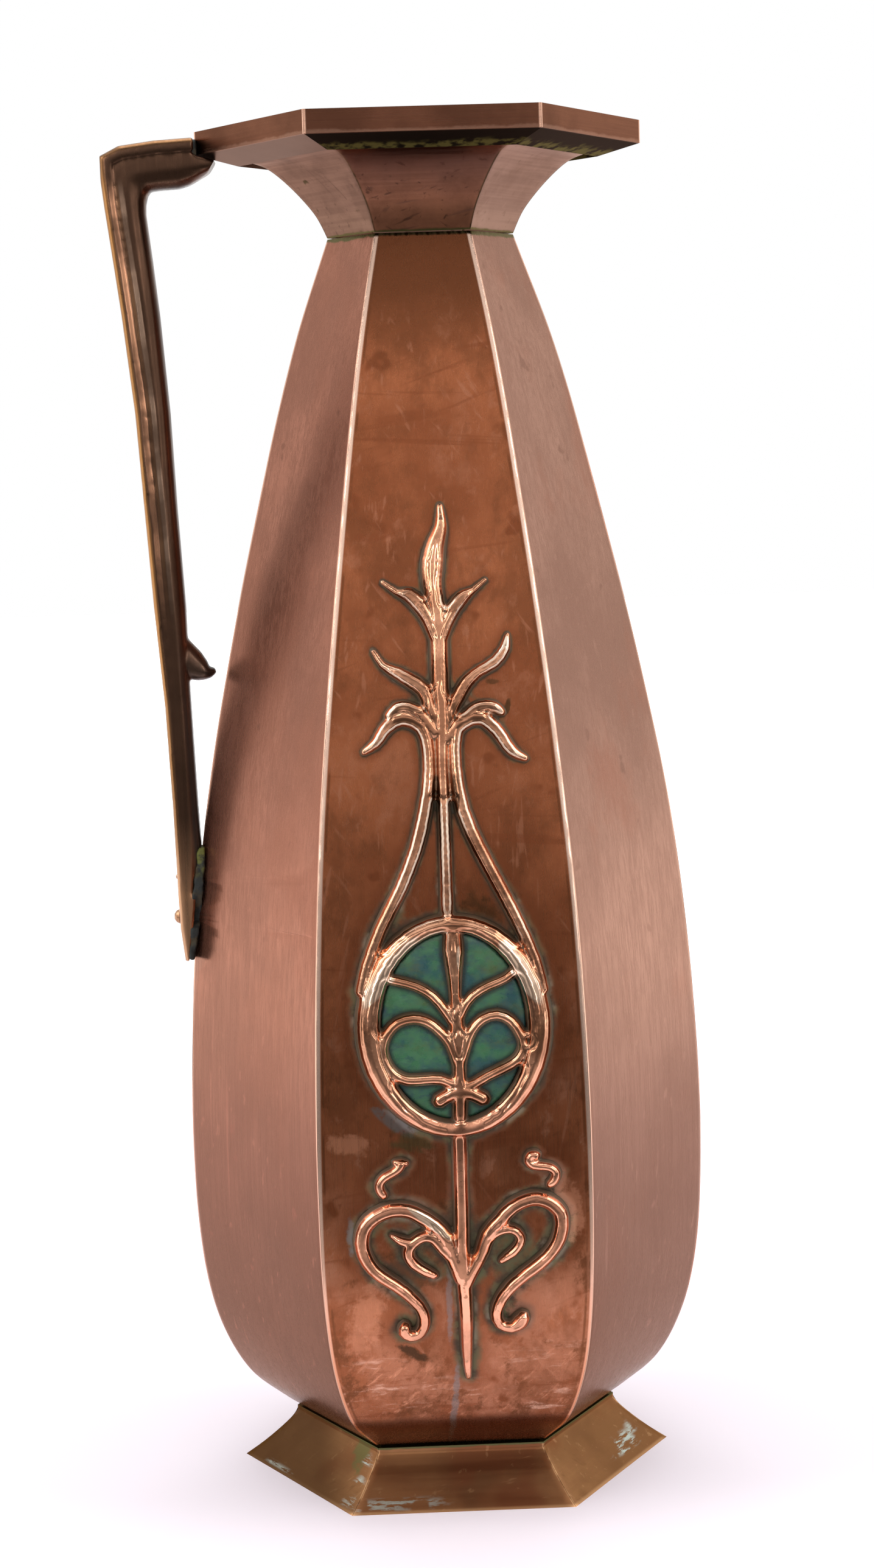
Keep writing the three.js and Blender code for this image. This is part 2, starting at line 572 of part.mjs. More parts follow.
// Enamel plaque: an oval lying on the panel inside the frame, a little higher in its middle
function enamelOval() {
  const path = [];
  for (let i = 0; i <= enamelRows; i += 1) {
    const angle = THREE.MathUtils.degToRad(-82 + (164 * i) / enamelRows);
    path.push([frameU, frameZ + (openingZ - seat) * Math.sin(angle),
      (openingU - seat) * Math.cos(angle)]);
  }
  const dome = enamelDome / enamelThick;
  const section = [[-0.985, 0], [-0.98, 1 - dome], [-0.5, 1 - dome * 0.2], [0, 1],
    [0.5, 1 - dome * 0.2], [0.98, 1 - dome], [0.985, 0], [0, 0]];
  return loft(strokeRings(path, section, seat, () => enamelThick));
}

// No two backs of neighbouring strokes share a surface: each lies a little above the one before
const traceryBase = seat + enamelThick + seat;
const ornament = joined([
  ovalFrame(),
  ...[flame, ...upperLeaves, ...strands, ...lobes, lowerStem, ...scrolls, ...hooks]
    .map((knots, i) => stroke(knots, seat + backLift * (i % backLifts))),
  ...tracery.map((knots, i) => stroke(knots, traceryBase + backLift * i)),
]);

// The assembly
const ewer = new THREE.Group();

function add(name, geometry, finish, turn = 0) {
  const mesh = new THREE.Mesh(geometry, new THREE.MeshStandardMaterial(finish));
  mesh.name = name;
  mesh.rotation.z = turn;
  ewer.add(mesh);
}

const places = ["front", "front_right", "back_right", "back", "back_left", "front_left"];
places.forEach((place, i) => {
  const turn = 2 * halfSide * i;
  const onHandleCorner = place === "back_left" || place === "front_left";
  const panelHoles = holes.map((hole) => hole.clone().rotateZ(-turn));
  const panel = onHandleCorner ? cutBy(bodyPanel, panelHoles) : bodyPanel;
  add(`body_panel_${place}`, panel, place === "front" ? copperFront : copper, turn);
  add(`lip_panel_${place}`, lipPanel, lipCopper, turn);
  add(`rim_strip_${place}`, rimStrip, lipCopper, turn);
  add(`foot_panel_${place}`, footPanel, footCopper, turn);
});
add("base_plate", basePlate, footCopper);
add("handle_strap", handleStrap, handleBronze);
add("handle_grip", handleGrip, handleBronze);
add("handle_rivet", fastener(rivet), handleBronze);
add("tail_pin", fastener(pin), handleBronze);
add("ornament_pressing", ornament, ornamentCopper);
add("enamel_plaque", enamelOval(), enamelGreen);
for (const [side, strokes] of [["left", curlLeft], ["right", curlRight]]) {
  add(`curl_${side}`, joined(strokes.map((knots, i) => stroke(knots, seat + backLift * i))), ornamentCopper);
}

// The origin is under the middle of the whole object, on the surface that it stands on
ewer.updateMatrixWorld(true);
const box = new THREE.Box3().setFromObject(ewer, true);
const middle = box.getCenter(new THREE.Vector3());
ewer.position.set(-middle.x, -middle.y, -box.min.z);

export default ewer;
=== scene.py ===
"""Copper ewer: the finish of its sheets, relief, enamel and handle, and a plain studio around it."""

import math

import bmesh
import bpy
from mathutils import Matrix, Vector, noise
from mathutils.bvhtree import BVHTree


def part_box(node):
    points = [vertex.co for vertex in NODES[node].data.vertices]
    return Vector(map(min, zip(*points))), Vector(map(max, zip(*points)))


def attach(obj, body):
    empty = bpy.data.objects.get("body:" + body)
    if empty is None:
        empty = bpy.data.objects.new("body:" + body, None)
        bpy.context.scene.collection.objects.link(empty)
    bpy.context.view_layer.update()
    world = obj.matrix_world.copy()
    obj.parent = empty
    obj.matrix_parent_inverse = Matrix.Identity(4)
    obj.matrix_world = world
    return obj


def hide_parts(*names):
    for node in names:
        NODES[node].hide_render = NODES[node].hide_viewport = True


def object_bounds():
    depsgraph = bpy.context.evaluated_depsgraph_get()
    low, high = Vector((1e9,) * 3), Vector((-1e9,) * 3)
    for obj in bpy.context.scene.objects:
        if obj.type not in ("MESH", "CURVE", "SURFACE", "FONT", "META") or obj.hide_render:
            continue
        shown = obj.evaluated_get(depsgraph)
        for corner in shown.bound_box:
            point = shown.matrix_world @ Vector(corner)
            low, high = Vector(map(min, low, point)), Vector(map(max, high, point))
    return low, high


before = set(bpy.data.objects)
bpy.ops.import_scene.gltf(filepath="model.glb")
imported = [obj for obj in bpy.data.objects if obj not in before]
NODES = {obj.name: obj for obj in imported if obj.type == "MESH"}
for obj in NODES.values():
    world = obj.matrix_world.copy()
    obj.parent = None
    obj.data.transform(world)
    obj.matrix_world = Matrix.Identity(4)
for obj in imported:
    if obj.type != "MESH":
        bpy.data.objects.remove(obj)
CAD_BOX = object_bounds()
MM = 0.001

# The vessel's axis and the heights of its seams, rim and handle, from the frame
BASE_LOW, BASE_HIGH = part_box("base_plate")
AXIS_X = (BASE_LOW.x + BASE_HIGH.x) / 2
AXIS_Y = (BASE_LOW.y + BASE_HIGH.y) / 2
NECK_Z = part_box("body_panel_front")[1].z
COLLAR_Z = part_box("foot_panel_front")[1].z
RIM_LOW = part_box("rim_strip_front")[0].z
RIM_BAND_LOW = RIM_LOW + 3.4 * MM
TAIL_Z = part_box("handle_strap")[0].z
ARM_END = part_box("handle_strap")[1].x

# Middles of the relief's oval and stem, and how high and far across the stem has no groove
OVAL_MIDDLE = (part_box("enamel_plaque")[0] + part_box("enamel_plaque")[1]) / 2
STEM_X = (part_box("curl_left")[1].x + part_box("curl_right")[0].x) / 2
STEM_TOP = 130 * MM
STEM_HALF = 5 * MM

# Metal between the strands: its middle and lower end, how far from its middle the gaps of painted
# shade beside it lie, and their half sizes in mm
WEB_X = STEM_X - 2.4 * MM
WEB_END = 200 * MM
WEB_GAP = 2.55 * MM
WEB_GAP_SIZE = (0.75, 3.4)

# Painted highlight lines along the handle: their highest and lowest place
LINES_TOP = RIM_LOW - 1 * MM
LINES_LOW = TAIL_Z + 88 * MM

# Camera, fitted to the photograph: place from the axis, heading, tilt down, roll and lens
CAMERA_DISTANCE = 0.83855
CAMERA_HEIGHT = 0.2987
CAMERA_HEADING = math.radians(1.549)
CAMERA_TILT = math.radians(7.007)
CAMERA_ROLL = math.radians(-1.74)
FOCAL_PIXELS = 4860.1
FRAME_PIXELS = 2576
SENSOR = 36.0

PLACES = ("front", "front_right", "back_right", "back", "back_left", "front_left")

# Colours, linear
SIDE_LEFT = ((0.42, 0.175, 0.115), (0.26, 0.105, 0.068))
SIDE_RIGHT = ((0.40, 0.215, 0.155), (0.27, 0.135, 0.095))
SIDE_LOW = (0.16, 0.074, 0.046)
SIDE_RED = (0.34, 0.13, 0.08)
FRONT = ((0.415, 0.145, 0.065), (0.245, 0.077, 0.033))
FRONT_DARK = (0.185, 0.066, 0.029)
FRONT_PALE = (0.45, 0.19, 0.108)
FRONT_BASE = (0.19, 0.075, 0.04)
FRONT_SHEEN = (0.80, 0.36, 0.21)
COPPER_EDGE = (0.95, 0.58, 0.42)
CORNER_EDGE = (0.97, 0.70, 0.56)
RELIEF_BRIGHT = (0.80, 0.41, 0.25)
RELIEF_PINK = (0.98, 0.47, 0.30)
RELIEF_PAINTED_HIGHLIGHT = (1.0, 0.79, 0.61)
RELIEF_GLEAM = (1.0, 0.74, 0.55)
RELIEF_WORN = (0.42, 0.19, 0.105)
RELIEF_DARK = (0.14, 0.075, 0.042)
WALL_PAINTED_SHADE = (0.055, 0.042, 0.02)

# Across a stroke of the relief, in mm: how far its rounding reaches in, how much it falls there,
# and where its groove and its painted highlight line run
RELIEF_ROUND = 2.6
RELIEF_SWELL = 0.95
RELIEF_GROOVE = 2.3
GROOVE_HALF = 0.7
GROOVE_DEPTH = 0.25
RELIEF_HIGHLIGHT_LINE = 1.45

# Height over the panel, in mm, from which a stroke is reshaped, and over which that sets in
RESHAPED_FROM = 0.4
RESHAPED_OVER = 1.2

# How far, in mm, distances are worked out: inside a stroke, from the relief to the panel and the
# enamel, from the panel to the relief, and inside the handle's outer face
EDGE_LIMIT = 4.0
RISE_LIMIT = 6.0
NEAR_LIMIT = 12.0
INSET_LIMIT = 14.0

# Gores: columns across, and depth of the slight dents
BODY_COLUMNS = 9
TRIM_COLUMNS = 6
BODY_DENTS = 0.25 * MM
LIP_DENTS = 0.15 * MM
FOOT_DENTS = 0.1 * MM

LIP_LEFT = ((0.20, 0.115, 0.082), (0.10, 0.056, 0.04))
LIP_FRONT = ((0.13, 0.066, 0.048), (0.085, 0.04, 0.027))
# Painted reflection of the body on the front lip, near the neck
LIP_FRONT_REFLECTION = (0.46, 0.19, 0.10)
LIP_RIGHT = ((0.25, 0.155, 0.12), (0.15, 0.086, 0.062))
LIP_SEAM = (0.07, 0.065, 0.024)
SEAM_OLIVE = (0.10, 0.095, 0.032)
RIM = ((0.22, 0.092, 0.054), (0.10, 0.042, 0.025))
RIM_LEFT_UNDER = ((0.105, 0.06, 0.042), (0.05, 0.028, 0.02))
GLANCE_BROWN = (0.80, 0.64, 0.58)
GLANCE_FOOT = (0.62, 0.49, 0.40)
GLANCE_COPPER = (0.88, 0.71, 0.62)
RIM_SHADE = (0.010, 0.008, 0.006)
RIM_EDGE = (0.13, 0.115, 0.035)
FOOT = ((0.33, 0.163, 0.072), (0.21, 0.10, 0.046))
FOOT_RED = (0.22, 0.088, 0.04)
FOOT_EDGE = (0.62, 0.36, 0.18)
FOOT_GREEN = (0.13, 0.14, 0.055)
FOOT_SHADE = (0.075, 0.038, 0.02)
BRONZE = ((0.13, 0.071, 0.045), (0.062, 0.035, 0.023))
BRONZE_MID = (0.28, 0.15, 0.08)
BRONZE_EDGE = (0.46, 0.22, 0.075)
BRONZE_HIGHLIGHT = (0.80, 0.42, 0.25)
BRONZE_PALE = (0.52, 0.36, 0.26)
TAIL = ((0.62, 0.36, 0.21), (0.42, 0.23, 0.13))
VERDIGRIS_DARK = (0.045, 0.034, 0.015)
VERDIGRIS = (0.12, 0.115, 0.05)
HALO_PALE = (0.34, 0.29, 0.20)
HALO_GREEN = (0.12, 0.145, 0.062)
SOLDER_GREEN = (0.15, 0.16, 0.03)
SOLDER_AND_SHADE_BLACK = (0.018, 0.022, 0.02)
PALE_DEPOSIT = (0.50, 0.56, 0.50)
SOLDER_GREY = (0.23, 0.215, 0.205)
ENAMEL_GREEN = (0.05, 0.205, 0.085)
ENAMEL_TEAL = (0.016, 0.10, 0.105)
ENAMEL_MOSS = (0.085, 0.12, 0.03)
ENAMEL_BLUE = (0.012, 0.045, 0.10)
ENAMEL_LIGHT = (0.10, 0.33, 0.15)
ENAMEL_FRAME_SHADE = (0.008, 0.018, 0.014)
FLOOR_NEAR = (0.965, 0.905, 0.975)
FLOOR_FAR = (1.0, 1.0, 1.0)

# Marks on the front panel: middle and half sizes in mm, tint, share, slant, and for those that
# hug the relief, how many mm from it they fade
FRONT_MARKS = (
    ((-18.0, 112.5), (9.0, 4.0), SOLDER_GREY, 0.8, -0.7, 3.4),
    ((-12.0, 107.0), (6.0, 3.0), VERDIGRIS, 0.6, -0.8, 4.0),
    ((-28.6, 82.0), (1.3, 5.5), SOLDER_GREY, 0.65, 0.0),
    ((-2.6, 62.0), (0.9, 13.0), SOLDER_GREY, 0.5, 0.0),
    ((-1.7, 31.0), (1.1, 15.0), SOLDER_GREY, 0.6, 0.08),
    ((-12.6, 47.6), (2.8, 3.0), FOOT_SHADE, 0.95, -1.3),
    ((-28.5, 107.0), (6.5, 3.0), FRONT_SHEEN, 0.6, -0.6),
    ((30.0, 88.0), (4.0, 10.0), FRONT_SHEEN, 0.5, -0.2),
    ((-25.0, 58.0), (5.0, 12.0), FRONT_SHEEN, 0.32, 0.3),
    ((20.0, 60.0), (7.0, 12.0), FRONT_PALE, 0.6, 0.2),
    ((-6.0, 300.0), (9.0, 2.0), FRONT[1], 0.5, 3.0),
    ((18.0, 222.0), (0.9, 2.8), VERDIGRIS_DARK, 0.75, 0.3),
    ((14.0, 229.0), (2.4, 0.8), VERDIGRIS_DARK, 0.6, -0.4),
    ((-17.0, 268.0), (5.0, 1.2), FRONT[1], 0.5, 0.0),
    ((8.0, 165.0), (7.0, 8.0), VERDIGRIS_DARK, 0.6, 0.0, 7.0),
    ((-4.0, 158.0), (6.0, 5.0), VERDIGRIS, 0.5, 0.0, 5.0),
    ((26.0, 100.0), (6.0, 7.0), FRONT[1], 0.7, 0.0),
    ((-3.0, 92.0), (16.0, 9.0), FRONT[1], 0.55, 0.0),
    ((0.0, 82.0), (6.0, 10.0), VERDIGRIS_DARK, 0.6, 0.0, 4.5),
    ((-13.0, 72.0), (8.0, 8.0), VERDIGRIS_DARK, 0.5, 0.0, 4.0),
    ((14.0, 76.0), (7.0, 9.0), VERDIGRIS, 0.5, 0.0, 3.2),
)

# Bright streaks on the relief, in mm from the middle of the oval: place, half sizes and slant
RELIEF_GLEAMS = (
    ((-16.6, 15.5), (2.2, 6.5), 0.8),
    ((18.2, 14.5), (2.0, 6.0), -0.57),
    ((-1.9, 18.5), (0.5, 2.4), 0.0),
    ((1.9, 18.5), (0.5, 2.4), 0.0),
    ((15.5, 3.6), (2.4, 0.8), 0.0),
    ((-8.6, -52.0), (1.4, 4.0), -1.1),
)

# Pale deposits on the foot, in mm: middle across, middle in depth, lowest, highest, half length
FOOT_DEPOSITS = (
    (-12.0, -50.0, 0.4, 3.6, 18.0),
    (-24.0, -47.0, 5.0, 12.0, 5.0),
    (54.0, -14.0, 1.8, 6.5, 9.0),
    (60.0, -10.0, 4.0, 8.0, 5.0),
    (-47.0, -14.0, 0.4, 1.8, 9.0),
    (-21.0, -43.0, 9.0, 13.0, 4.0),
)

# Green crust at the foot's front left corner: its place, and how the corner leans
FOOT_CRUST_X = AXIS_X - 27.5 * MM
FOOT_CRUST_Z = 12 * MM
FOOT_CORNER_SLANT = 0.4

# Across the foot: where the painted shade on its left side begins and where it is darkest
FOOT_SHADED = (-18 * MM, -34 * MM)

# Where the brushing's streak value begins to count as dark, and where it is fully so
STREAK = (0.38, 0.62)

# Heights in mm on the body and the relief: where a change begins and where it is complete
SIDE_DARKENS = (210, 60)
FRONT_PALES = (150, 100)
SCUFFS_BEGIN = (88, 66)
SCUFFS_END = (24, 30)
BLOTCHES_GROW = (190, 130)
TOP_DARKENS = (316, 336)
BASE_DARKENS = (30, 27)
LINE_WIDENS = (50, 120)
LINE_BRIGHTENS = (35, 100)
HALO_NARROWS = (165, 200)
HALO_WIDENS = (110, 95)
HALO_BRIGHTENS = (105, 90)
RELIEF_WEARS = (100, 130)
RELIEF_REDDENS = (135, 110)
LINES_BEGIN = (150, 175)

# Painted highlight lines along the handle: mm inside its outer face, half width, tint and share
HANDLE_LINES = (
    (3.2, 0.8, BRONZE_HIGHLIGHT, 0.85),
    (4.4, 0.6, BRONZE_MID, 0.7),
    (5.6, 0.9, BRONZE_PALE, 0.7),
    (11.3, 0.4, BRONZE_PALE, 0.5),
)

# Solder at the handle's tail: mm that follow the strap and mm above it. At its arm: mm over the
# handle's top with half widths, and how far it reaches past the arm's end
TAIL_SOLDER_LOW = 19
TAIL_SOLDER_TOP = 14
ARM_SOLDER = ((-7.0, 2.4), (-5.0, 5.0), (-0.8, 5.2), (-0.3, 4.2))
ARM_SOLDER_REACH = (-0.5, 0.9)

# The room in front of the ewer, which only reflections see: levels of light, and its windows as
# degrees away from straight ahead, half widths and added levels
ROOM_LOW = 0.25
ROOM_HIGH = 0.85
ROOM_GROUND = 0.17
ROOM_WINDOWS = ((13.0, 2.0, 0.6), (30.0, 4.0, 6.5), (50.0, 4.0, 3.0), (74.0, 4.0, 1.0))
WINDOW_LOW = 0.25
WINDOW_HIGH = 0.75
ROOM_NEAR = 0.4
ROOM_CEILING = 0.3
FLOOR_GLOW = 0.17
WORLD_UNSEEN = 0.55
NO_LIMIT = 9.0

# The room's half width, height, far and near end, the ceiling's near end, the ground's lift, where
# the ground dims and where it glows near the ewer; and half the floor's size
ROOM_HALF = 1.3
ROOM_TOP = 1.7
ROOM_END = -1.7
ROOM_START = -0.2
CEILING_END = -0.8
GROUND_LIFT = 0.002
GROUND_DIMS = (-1.6, -0.8)
GROUND_GLOWS = (-0.5, -0.2)
FLOOR_HALF = 4.0

# Lamps, all turned to one point: name, place, size and power
LAMP_TARGET = (0.0, 0.0, 0.2)
LAMPS = (
    ("left_softbox", (-1.3, -0.2, 0.9), (0.7, 1.2), 9.0),
    ("right_softbox", (1.3, -0.2, 0.9), (0.7, 1.2), 9.0),
    ("top_softbox", (0.0, 0.3, 1.5), (1.0, 1.0), 8.0),
)

# Clouds in the enamel: tint, scale, where they start and end, share and offset
ENAMEL_CLOUDS = (
    (ENAMEL_MOSS, 200, 0.48, 0.72, 0.75, 0.4),
    (ENAMEL_BLUE, 190, 0.52, 0.68, 0.8, 3.1),
    (ENAMEL_LIGHT, 260, 0.56, 0.72, 0.6, 7.4),
)


class Look:
    """A material's look: a Principled shader and short calls for the nodes in front of it."""

    def __init__(self, name, metallic, **constants):
        self.material = bpy.data.materials.new(name)
        self.material.use_nodes = True
        self.tree = self.material.node_tree
        self.surface = self.tree.nodes["Principled BSDF"]
        self.surface.inputs["Metallic"].default_value = metallic
        for key, value in constants.items():
            self.surface.inputs[key.replace("_", " ").title()].default_value = value
        self.place = self.tree.nodes.new("ShaderNodeTexCoord").outputs["Object"]
        self.colour = None

    def put(self, socket, value):
        if isinstance(value, bpy.types.NodeSocket):
            self.tree.links.new(value, socket)
        elif isinstance(value, tuple) and len(value) == 3 and socket.type == "RGBA":
            socket.default_value = (*value, 1.0)
        else:
            socket.default_value = value

    def math(self, operation, first, second=0.0):
        node = self.tree.nodes.new("ShaderNodeMath")
        node.operation = operation
        self.put(node.inputs[0], first)
        self.put(node.inputs[1], second)
        return node.outputs[0]

    def times(self, first, *others):
        for other in others:
            first = self.math("MULTIPLY", first, other)
        return first

    def plus(self, first, second):
        return self.math("ADD", first, second)

    def minus(self, first, second):
        return self.math("SUBTRACT", first, second)

    def most(self, first, second):
        return self.math("MAXIMUM", first, second)

    def away(self, value, middle):
        """How far a value is from a middle one, on either side."""
        return self.math("ABSOLUTE", self.minus(value, middle))

    def radius(self, x, y):
        return self.math("SQRT", self.plus(self.times(x, x), self.times(y, y)))

    def mix(self, share, first, second):
        node = self.tree.nodes.new("ShaderNodeMix")
        node.data_type = "RGBA"
        self.put(node.inputs["Factor"], share)
        self.put(node.inputs[6], first)
        self.put(node.inputs[7], second)
        return node.outputs[2]

    def lay(self, tint, share):
        """Lay a tint over the material's colour."""
        self.colour = self.mix(share, self.colour, tint)

    def band(self, value, low, high, start=0.0, end=1.0):
        """From start to end while a value goes from low to high, and level outside."""
        node = self.tree.nodes.new("ShaderNodeMapRange")
        node.interpolation_type = "SMOOTHSTEP"
        for key, number in zip(("Value", "From Min", "From Max", "To Min", "To Max"),
                               (value, low, high, start, end)):
            self.put(node.inputs[key], number)
        return node.outputs[0]

    def zone(self, first, last, start=0.0, end=1.0, over=0.0, height=None):
        """From start to end between two heights, which are given in mm over a third."""
        if height is None:
            height = self.axes()[2]
        return self.band(height, over + first * MM, over + last * MM, start, end)

    def noise(self, scale, stretch=(1.0, 1.0, 1.0), detail=4.0, rough=0.55, offset=0.0, slant=0.0):
        mapping = self.tree.nodes.new("ShaderNodeMapping")
        mapping.vector_type = "TEXTURE"
        mapping.inputs["Rotation"].default_value = (0.0, slant, 0.0)
        mapping.inputs["Scale"].default_value = [1.0 / share for share in stretch]
        mapping.inputs["Location"].default_value = (offset, offset, offset)
        self.tree.links.new(self.place, mapping.inputs["Vector"])
        node = self.tree.nodes.new("ShaderNodeTexNoise")
        node.inputs["Scale"].default_value = scale
        node.inputs["Detail"].default_value = detail
        node.inputs["Roughness"].default_value = rough
        self.tree.links.new(mapping.outputs[0], node.inputs["Vector"])
        return node.outputs["Fac"]

    def patches(self, scale, low, high, share=1.0, **grain):
        """Ragged patches: nothing where the noise is below low, and share where it is past high."""
        return self.band(self.noise(scale, **grain), low, high, 0.0, share)

    def axes(self):
        node = self.tree.nodes.new("ShaderNodeSeparateXYZ")
        self.tree.links.new(self.place, node.inputs[0])
        return node.outputs

    def attribute(self, name):
        node = self.tree.nodes.new("ShaderNodeAttribute")
        node.attribute_name = name
        return node.outputs["Fac"]

    def corner_distance(self):
        """Metres from the nearest of the six mitre planes."""
        x, y, _ = self.axes()
        x = self.minus(x, AXIS_X)
        y = self.minus(y, AXIS_Y)
        angle = self.math("PINGPONG", self.math("ARCTAN2", y, x), math.pi / len(PLACES))
        return self.times(self.radius(x, y), self.math("SINE", angle))

    def near_height(self, height, reach, wobble):
        """1 at a height, falling to 0 at reach metres from it, with a ragged edge."""
        off = self.away(self.axes()[2], height)
        ragged = self.plus(off, self.times(self.noise(180, offset=0.3), wobble))
        return self.band(ragged, reach, reach * 0.3 + wobble * 0.5)

    def glance(self, tint):
        """Colour of a metal at glancing angles."""
        self.put(self.surface.inputs["Specular Tint"], tint)

    def bump(self, height, strength, distance=0.0002):
        node = self.tree.nodes.new("ShaderNodeBump")
        node.inputs["Strength"].default_value = strength
        node.inputs["Distance"].default_value = distance
        self.put(node.inputs["Height"], height)
        self.tree.links.new(node.outputs[0], self.surface.inputs["Normal"])

    def dull(self, share):
        """Less metal where there is crust, from 0 to 1."""
        self.put(self.surface.inputs["Metallic"], self.minus(1.0, share))

    def finish(self, roughness):
        self.put(self.surface.inputs["Base Color"], self.colour)
        self.put(self.surface.inputs["Roughness"], roughness)
        return self.material


def brushed(look, light, dark, fine=1900.0, share=0.55, level=False):
    """Mottled sheet, brushed finely along its height or level round it. Returns its streak value."""
    along = (0.02, 0.02, 1.0) if level else (1.0, 1.0, 0.016)
    wide = (0.05, 0.05, 1.0) if level else (1.0, 1.0, 0.03)
    look.colour = look.mix(look.patches(24, 0.38, 0.62, 0.75, detail=7.0, rough=0.6), light, dark)
    streak = look.noise(fine, stretch=along, detail=2.0)
    broad = look.noise(430, stretch=wide, detail=3.0, offset=0.7)
    both = look.plus(look.times(streak, 0.6), look.times(broad, 0.4))
    look.lay(dark, look.band(both, *STREAK, 0.0, share))
    return both


def spots(look, tint, scale, low, high, offset=1.3):
    """Soft spots of a tint."""
    look.lay(tint, look.patches(scale, low, high, detail=2.0, offset=offset))


def scratches(look, tint, share, slants, scale=420.0):
    """Thin straight scratches in a few directions."""
    for i, slant in enumerate(slants):
        mask = look.patches(scale, 0.64, 0.72, share, stretch=(1.0, 1.0, 0.03), detail=3.0,
                            offset=3.0 + i, slant=slant)
        look.lay(tint, mask)


def mark(look, x0, z0, size, slant, share, broken=4.0):
    """Share of a ragged, leaning mark round a place, with half sizes in mm."""
    x, _, z = look.axes()
    height = look.minus(z, z0)
    across = look.minus(look.minus(x, x0), look.times(height, slant))
    across = look.math("DIVIDE", across, size[0] * MM)
    height = look.math("DIVIDE", height, size[1] * MM)
    reach = look.plus(look.times(across, across), look.times(height, height))
    grain = look.noise(330, detail=7.0, rough=0.7, offset=2.2)
    return look.band(look.plus(reach, look.times(grain, broken)), 3.2, 2.2, 0.0, share)


def smear(look, centre, size, tint, share, slant, hugging=None):
    """A ragged mark on the front panel, at (across, height) mm with half sizes in mm."""
    mask = mark(look, AXIS_X + centre[0] * MM, centre[1] * MM, size, slant, share)
    if hugging:
        mask = look.times(mask, look.band(look.attribute("near"), hugging + 1.0, hugging))
    look.lay(tint, mask)


def side_copper(name, light, dark):
    look = Look(name, 0.78)
    look.glance(GLANCE_COPPER)
    streak = brushed(look, light, dark, share=0.65)
    ruddy = look.patches(16, 0.48, 0.62, 0.5, stretch=(1.0, 1.0, 0.7), detail=8.0, rough=0.62,
                         offset=21.0)
    look.lay(SIDE_RED, ruddy)
    uneven = look.plus(look.axes()[2], look.times(look.noise(30), 30 * MM))
    look.lay(SIDE_LOW, look.zone(*SIDE_DARKENS, 0.0, 0.8, height=uneven))
    spots(look, dark, 130, 0.68, 0.75)
    scratches(look, light, 0.35, (0.0, 0.5))
    edge = look.band(look.corner_distance(), 0.7 * MM, 0.3 * MM, 0.0, 0.8)
    look.lay(COPPER_EDGE, edge)
    for seam in (NECK_Z, COLLAR_Z):
        look.lay(SEAM_OLIVE, look.near_height(seam, 2.2 * MM, 2.0 * MM))
    look.bump(streak, 0.3, 0.00008)
    roughness = look.band(streak, *STREAK, 0.22, 0.30)
    return look.finish(look.band(edge, 0.0, 1.0, roughness, 0.22))


def front_mottling(look, level):
    """Clouds, scuffs, blotches and scratches of the front panel; level is its height, made uneven."""
    patch = look.noise(55, detail=7.0, rough=0.65, offset=7.7)
    pale = look.times(look.zone(*FRONT_PALES, 0.0, 0.7, height=level),
                      look.band(patch, 0.4, 0.58, 0.1, 1.0))
    look.lay(FRONT_PALE, pale)
    scuff = look.noise(300, stretch=(0.2, 1.0, 1.0), detail=7.0, rough=0.7, offset=3.3)
    stroke = look.noise(480, stretch=(1.0, 1.0, 0.05), detail=5.0, rough=0.65, offset=6.1, slant=0.75)
    low = look.times(look.zone(*SCUFFS_BEGIN, 0.0, 0.75, height=level), look.zone(*SCUFFS_END))
    for grain, none, full, tint in ((scuff, 0.55, 0.68, COPPER_EDGE), (scuff, 0.47, 0.38, FRONT[1]),
                                    (stroke, 0.55, 0.68, FRONT_SHEEN)):
        look.lay(tint, look.times(look.band(grain, none, full), low))
    spots(look, FRONT[1], 120, 0.62, 0.72)
    cloud = look.noise(34, stretch=(1.0, 1.0, 0.6), detail=8.0, rough=0.68, offset=12.1)
    look.lay(FRONT_DARK, look.band(cloud, 0.5, 0.62, 0.0, 0.55))
    look.lay(FRONT_PALE, look.band(cloud, 0.46, 0.36, 0.0, 0.35))
    blotch = look.noise(110, stretch=(1.0, 1.0, 0.7), detail=8.0, rough=0.7, offset=15.2, slant=0.5)
    share = look.zone(*BLOTCHES_GROW, 0.35, 0.95, height=level)
    look.lay(FRONT_DARK, look.times(look.band(blotch, 0.52, 0.64), share))
    look.lay(FRONT_PALE, look.times(look.band(blotch, 0.44, 0.34), share))
    scratches(look, FRONT_PALE, 0.5, (0.0, 0.25, -0.6))
    scratches(look, FRONT[1], 0.6, (1.45, -1.5, 1.2), 300.0)


def front_corners(look):
    """Worn lines along the front panel's corners, with broken dark ones beside. Returns their share."""
    corner = look.corner_distance()
    beside = look.times(look.band(corner, 1.9 * MM, 1.5 * MM), look.band(corner, 1.0 * MM, 1.3 * MM))
    broken = look.patches(90, 0.4, 0.56, 0.8, offset=17.0)
    look.lay(FRONT_DARK, look.times(beside, broken))
    thin = look.zone(*LINE_WIDENS, 0.4 * MM, 0.0)
    edge = look.band(look.plus(corner, thin), 1.1 * MM, 0.7 * MM, 0.0, 0.95)
    line = look.mix(look.zone(*LINE_BRIGHTENS), FRONT_SHEEN, CORNER_EDGE)
    look.lay(line, edge)
    return edge


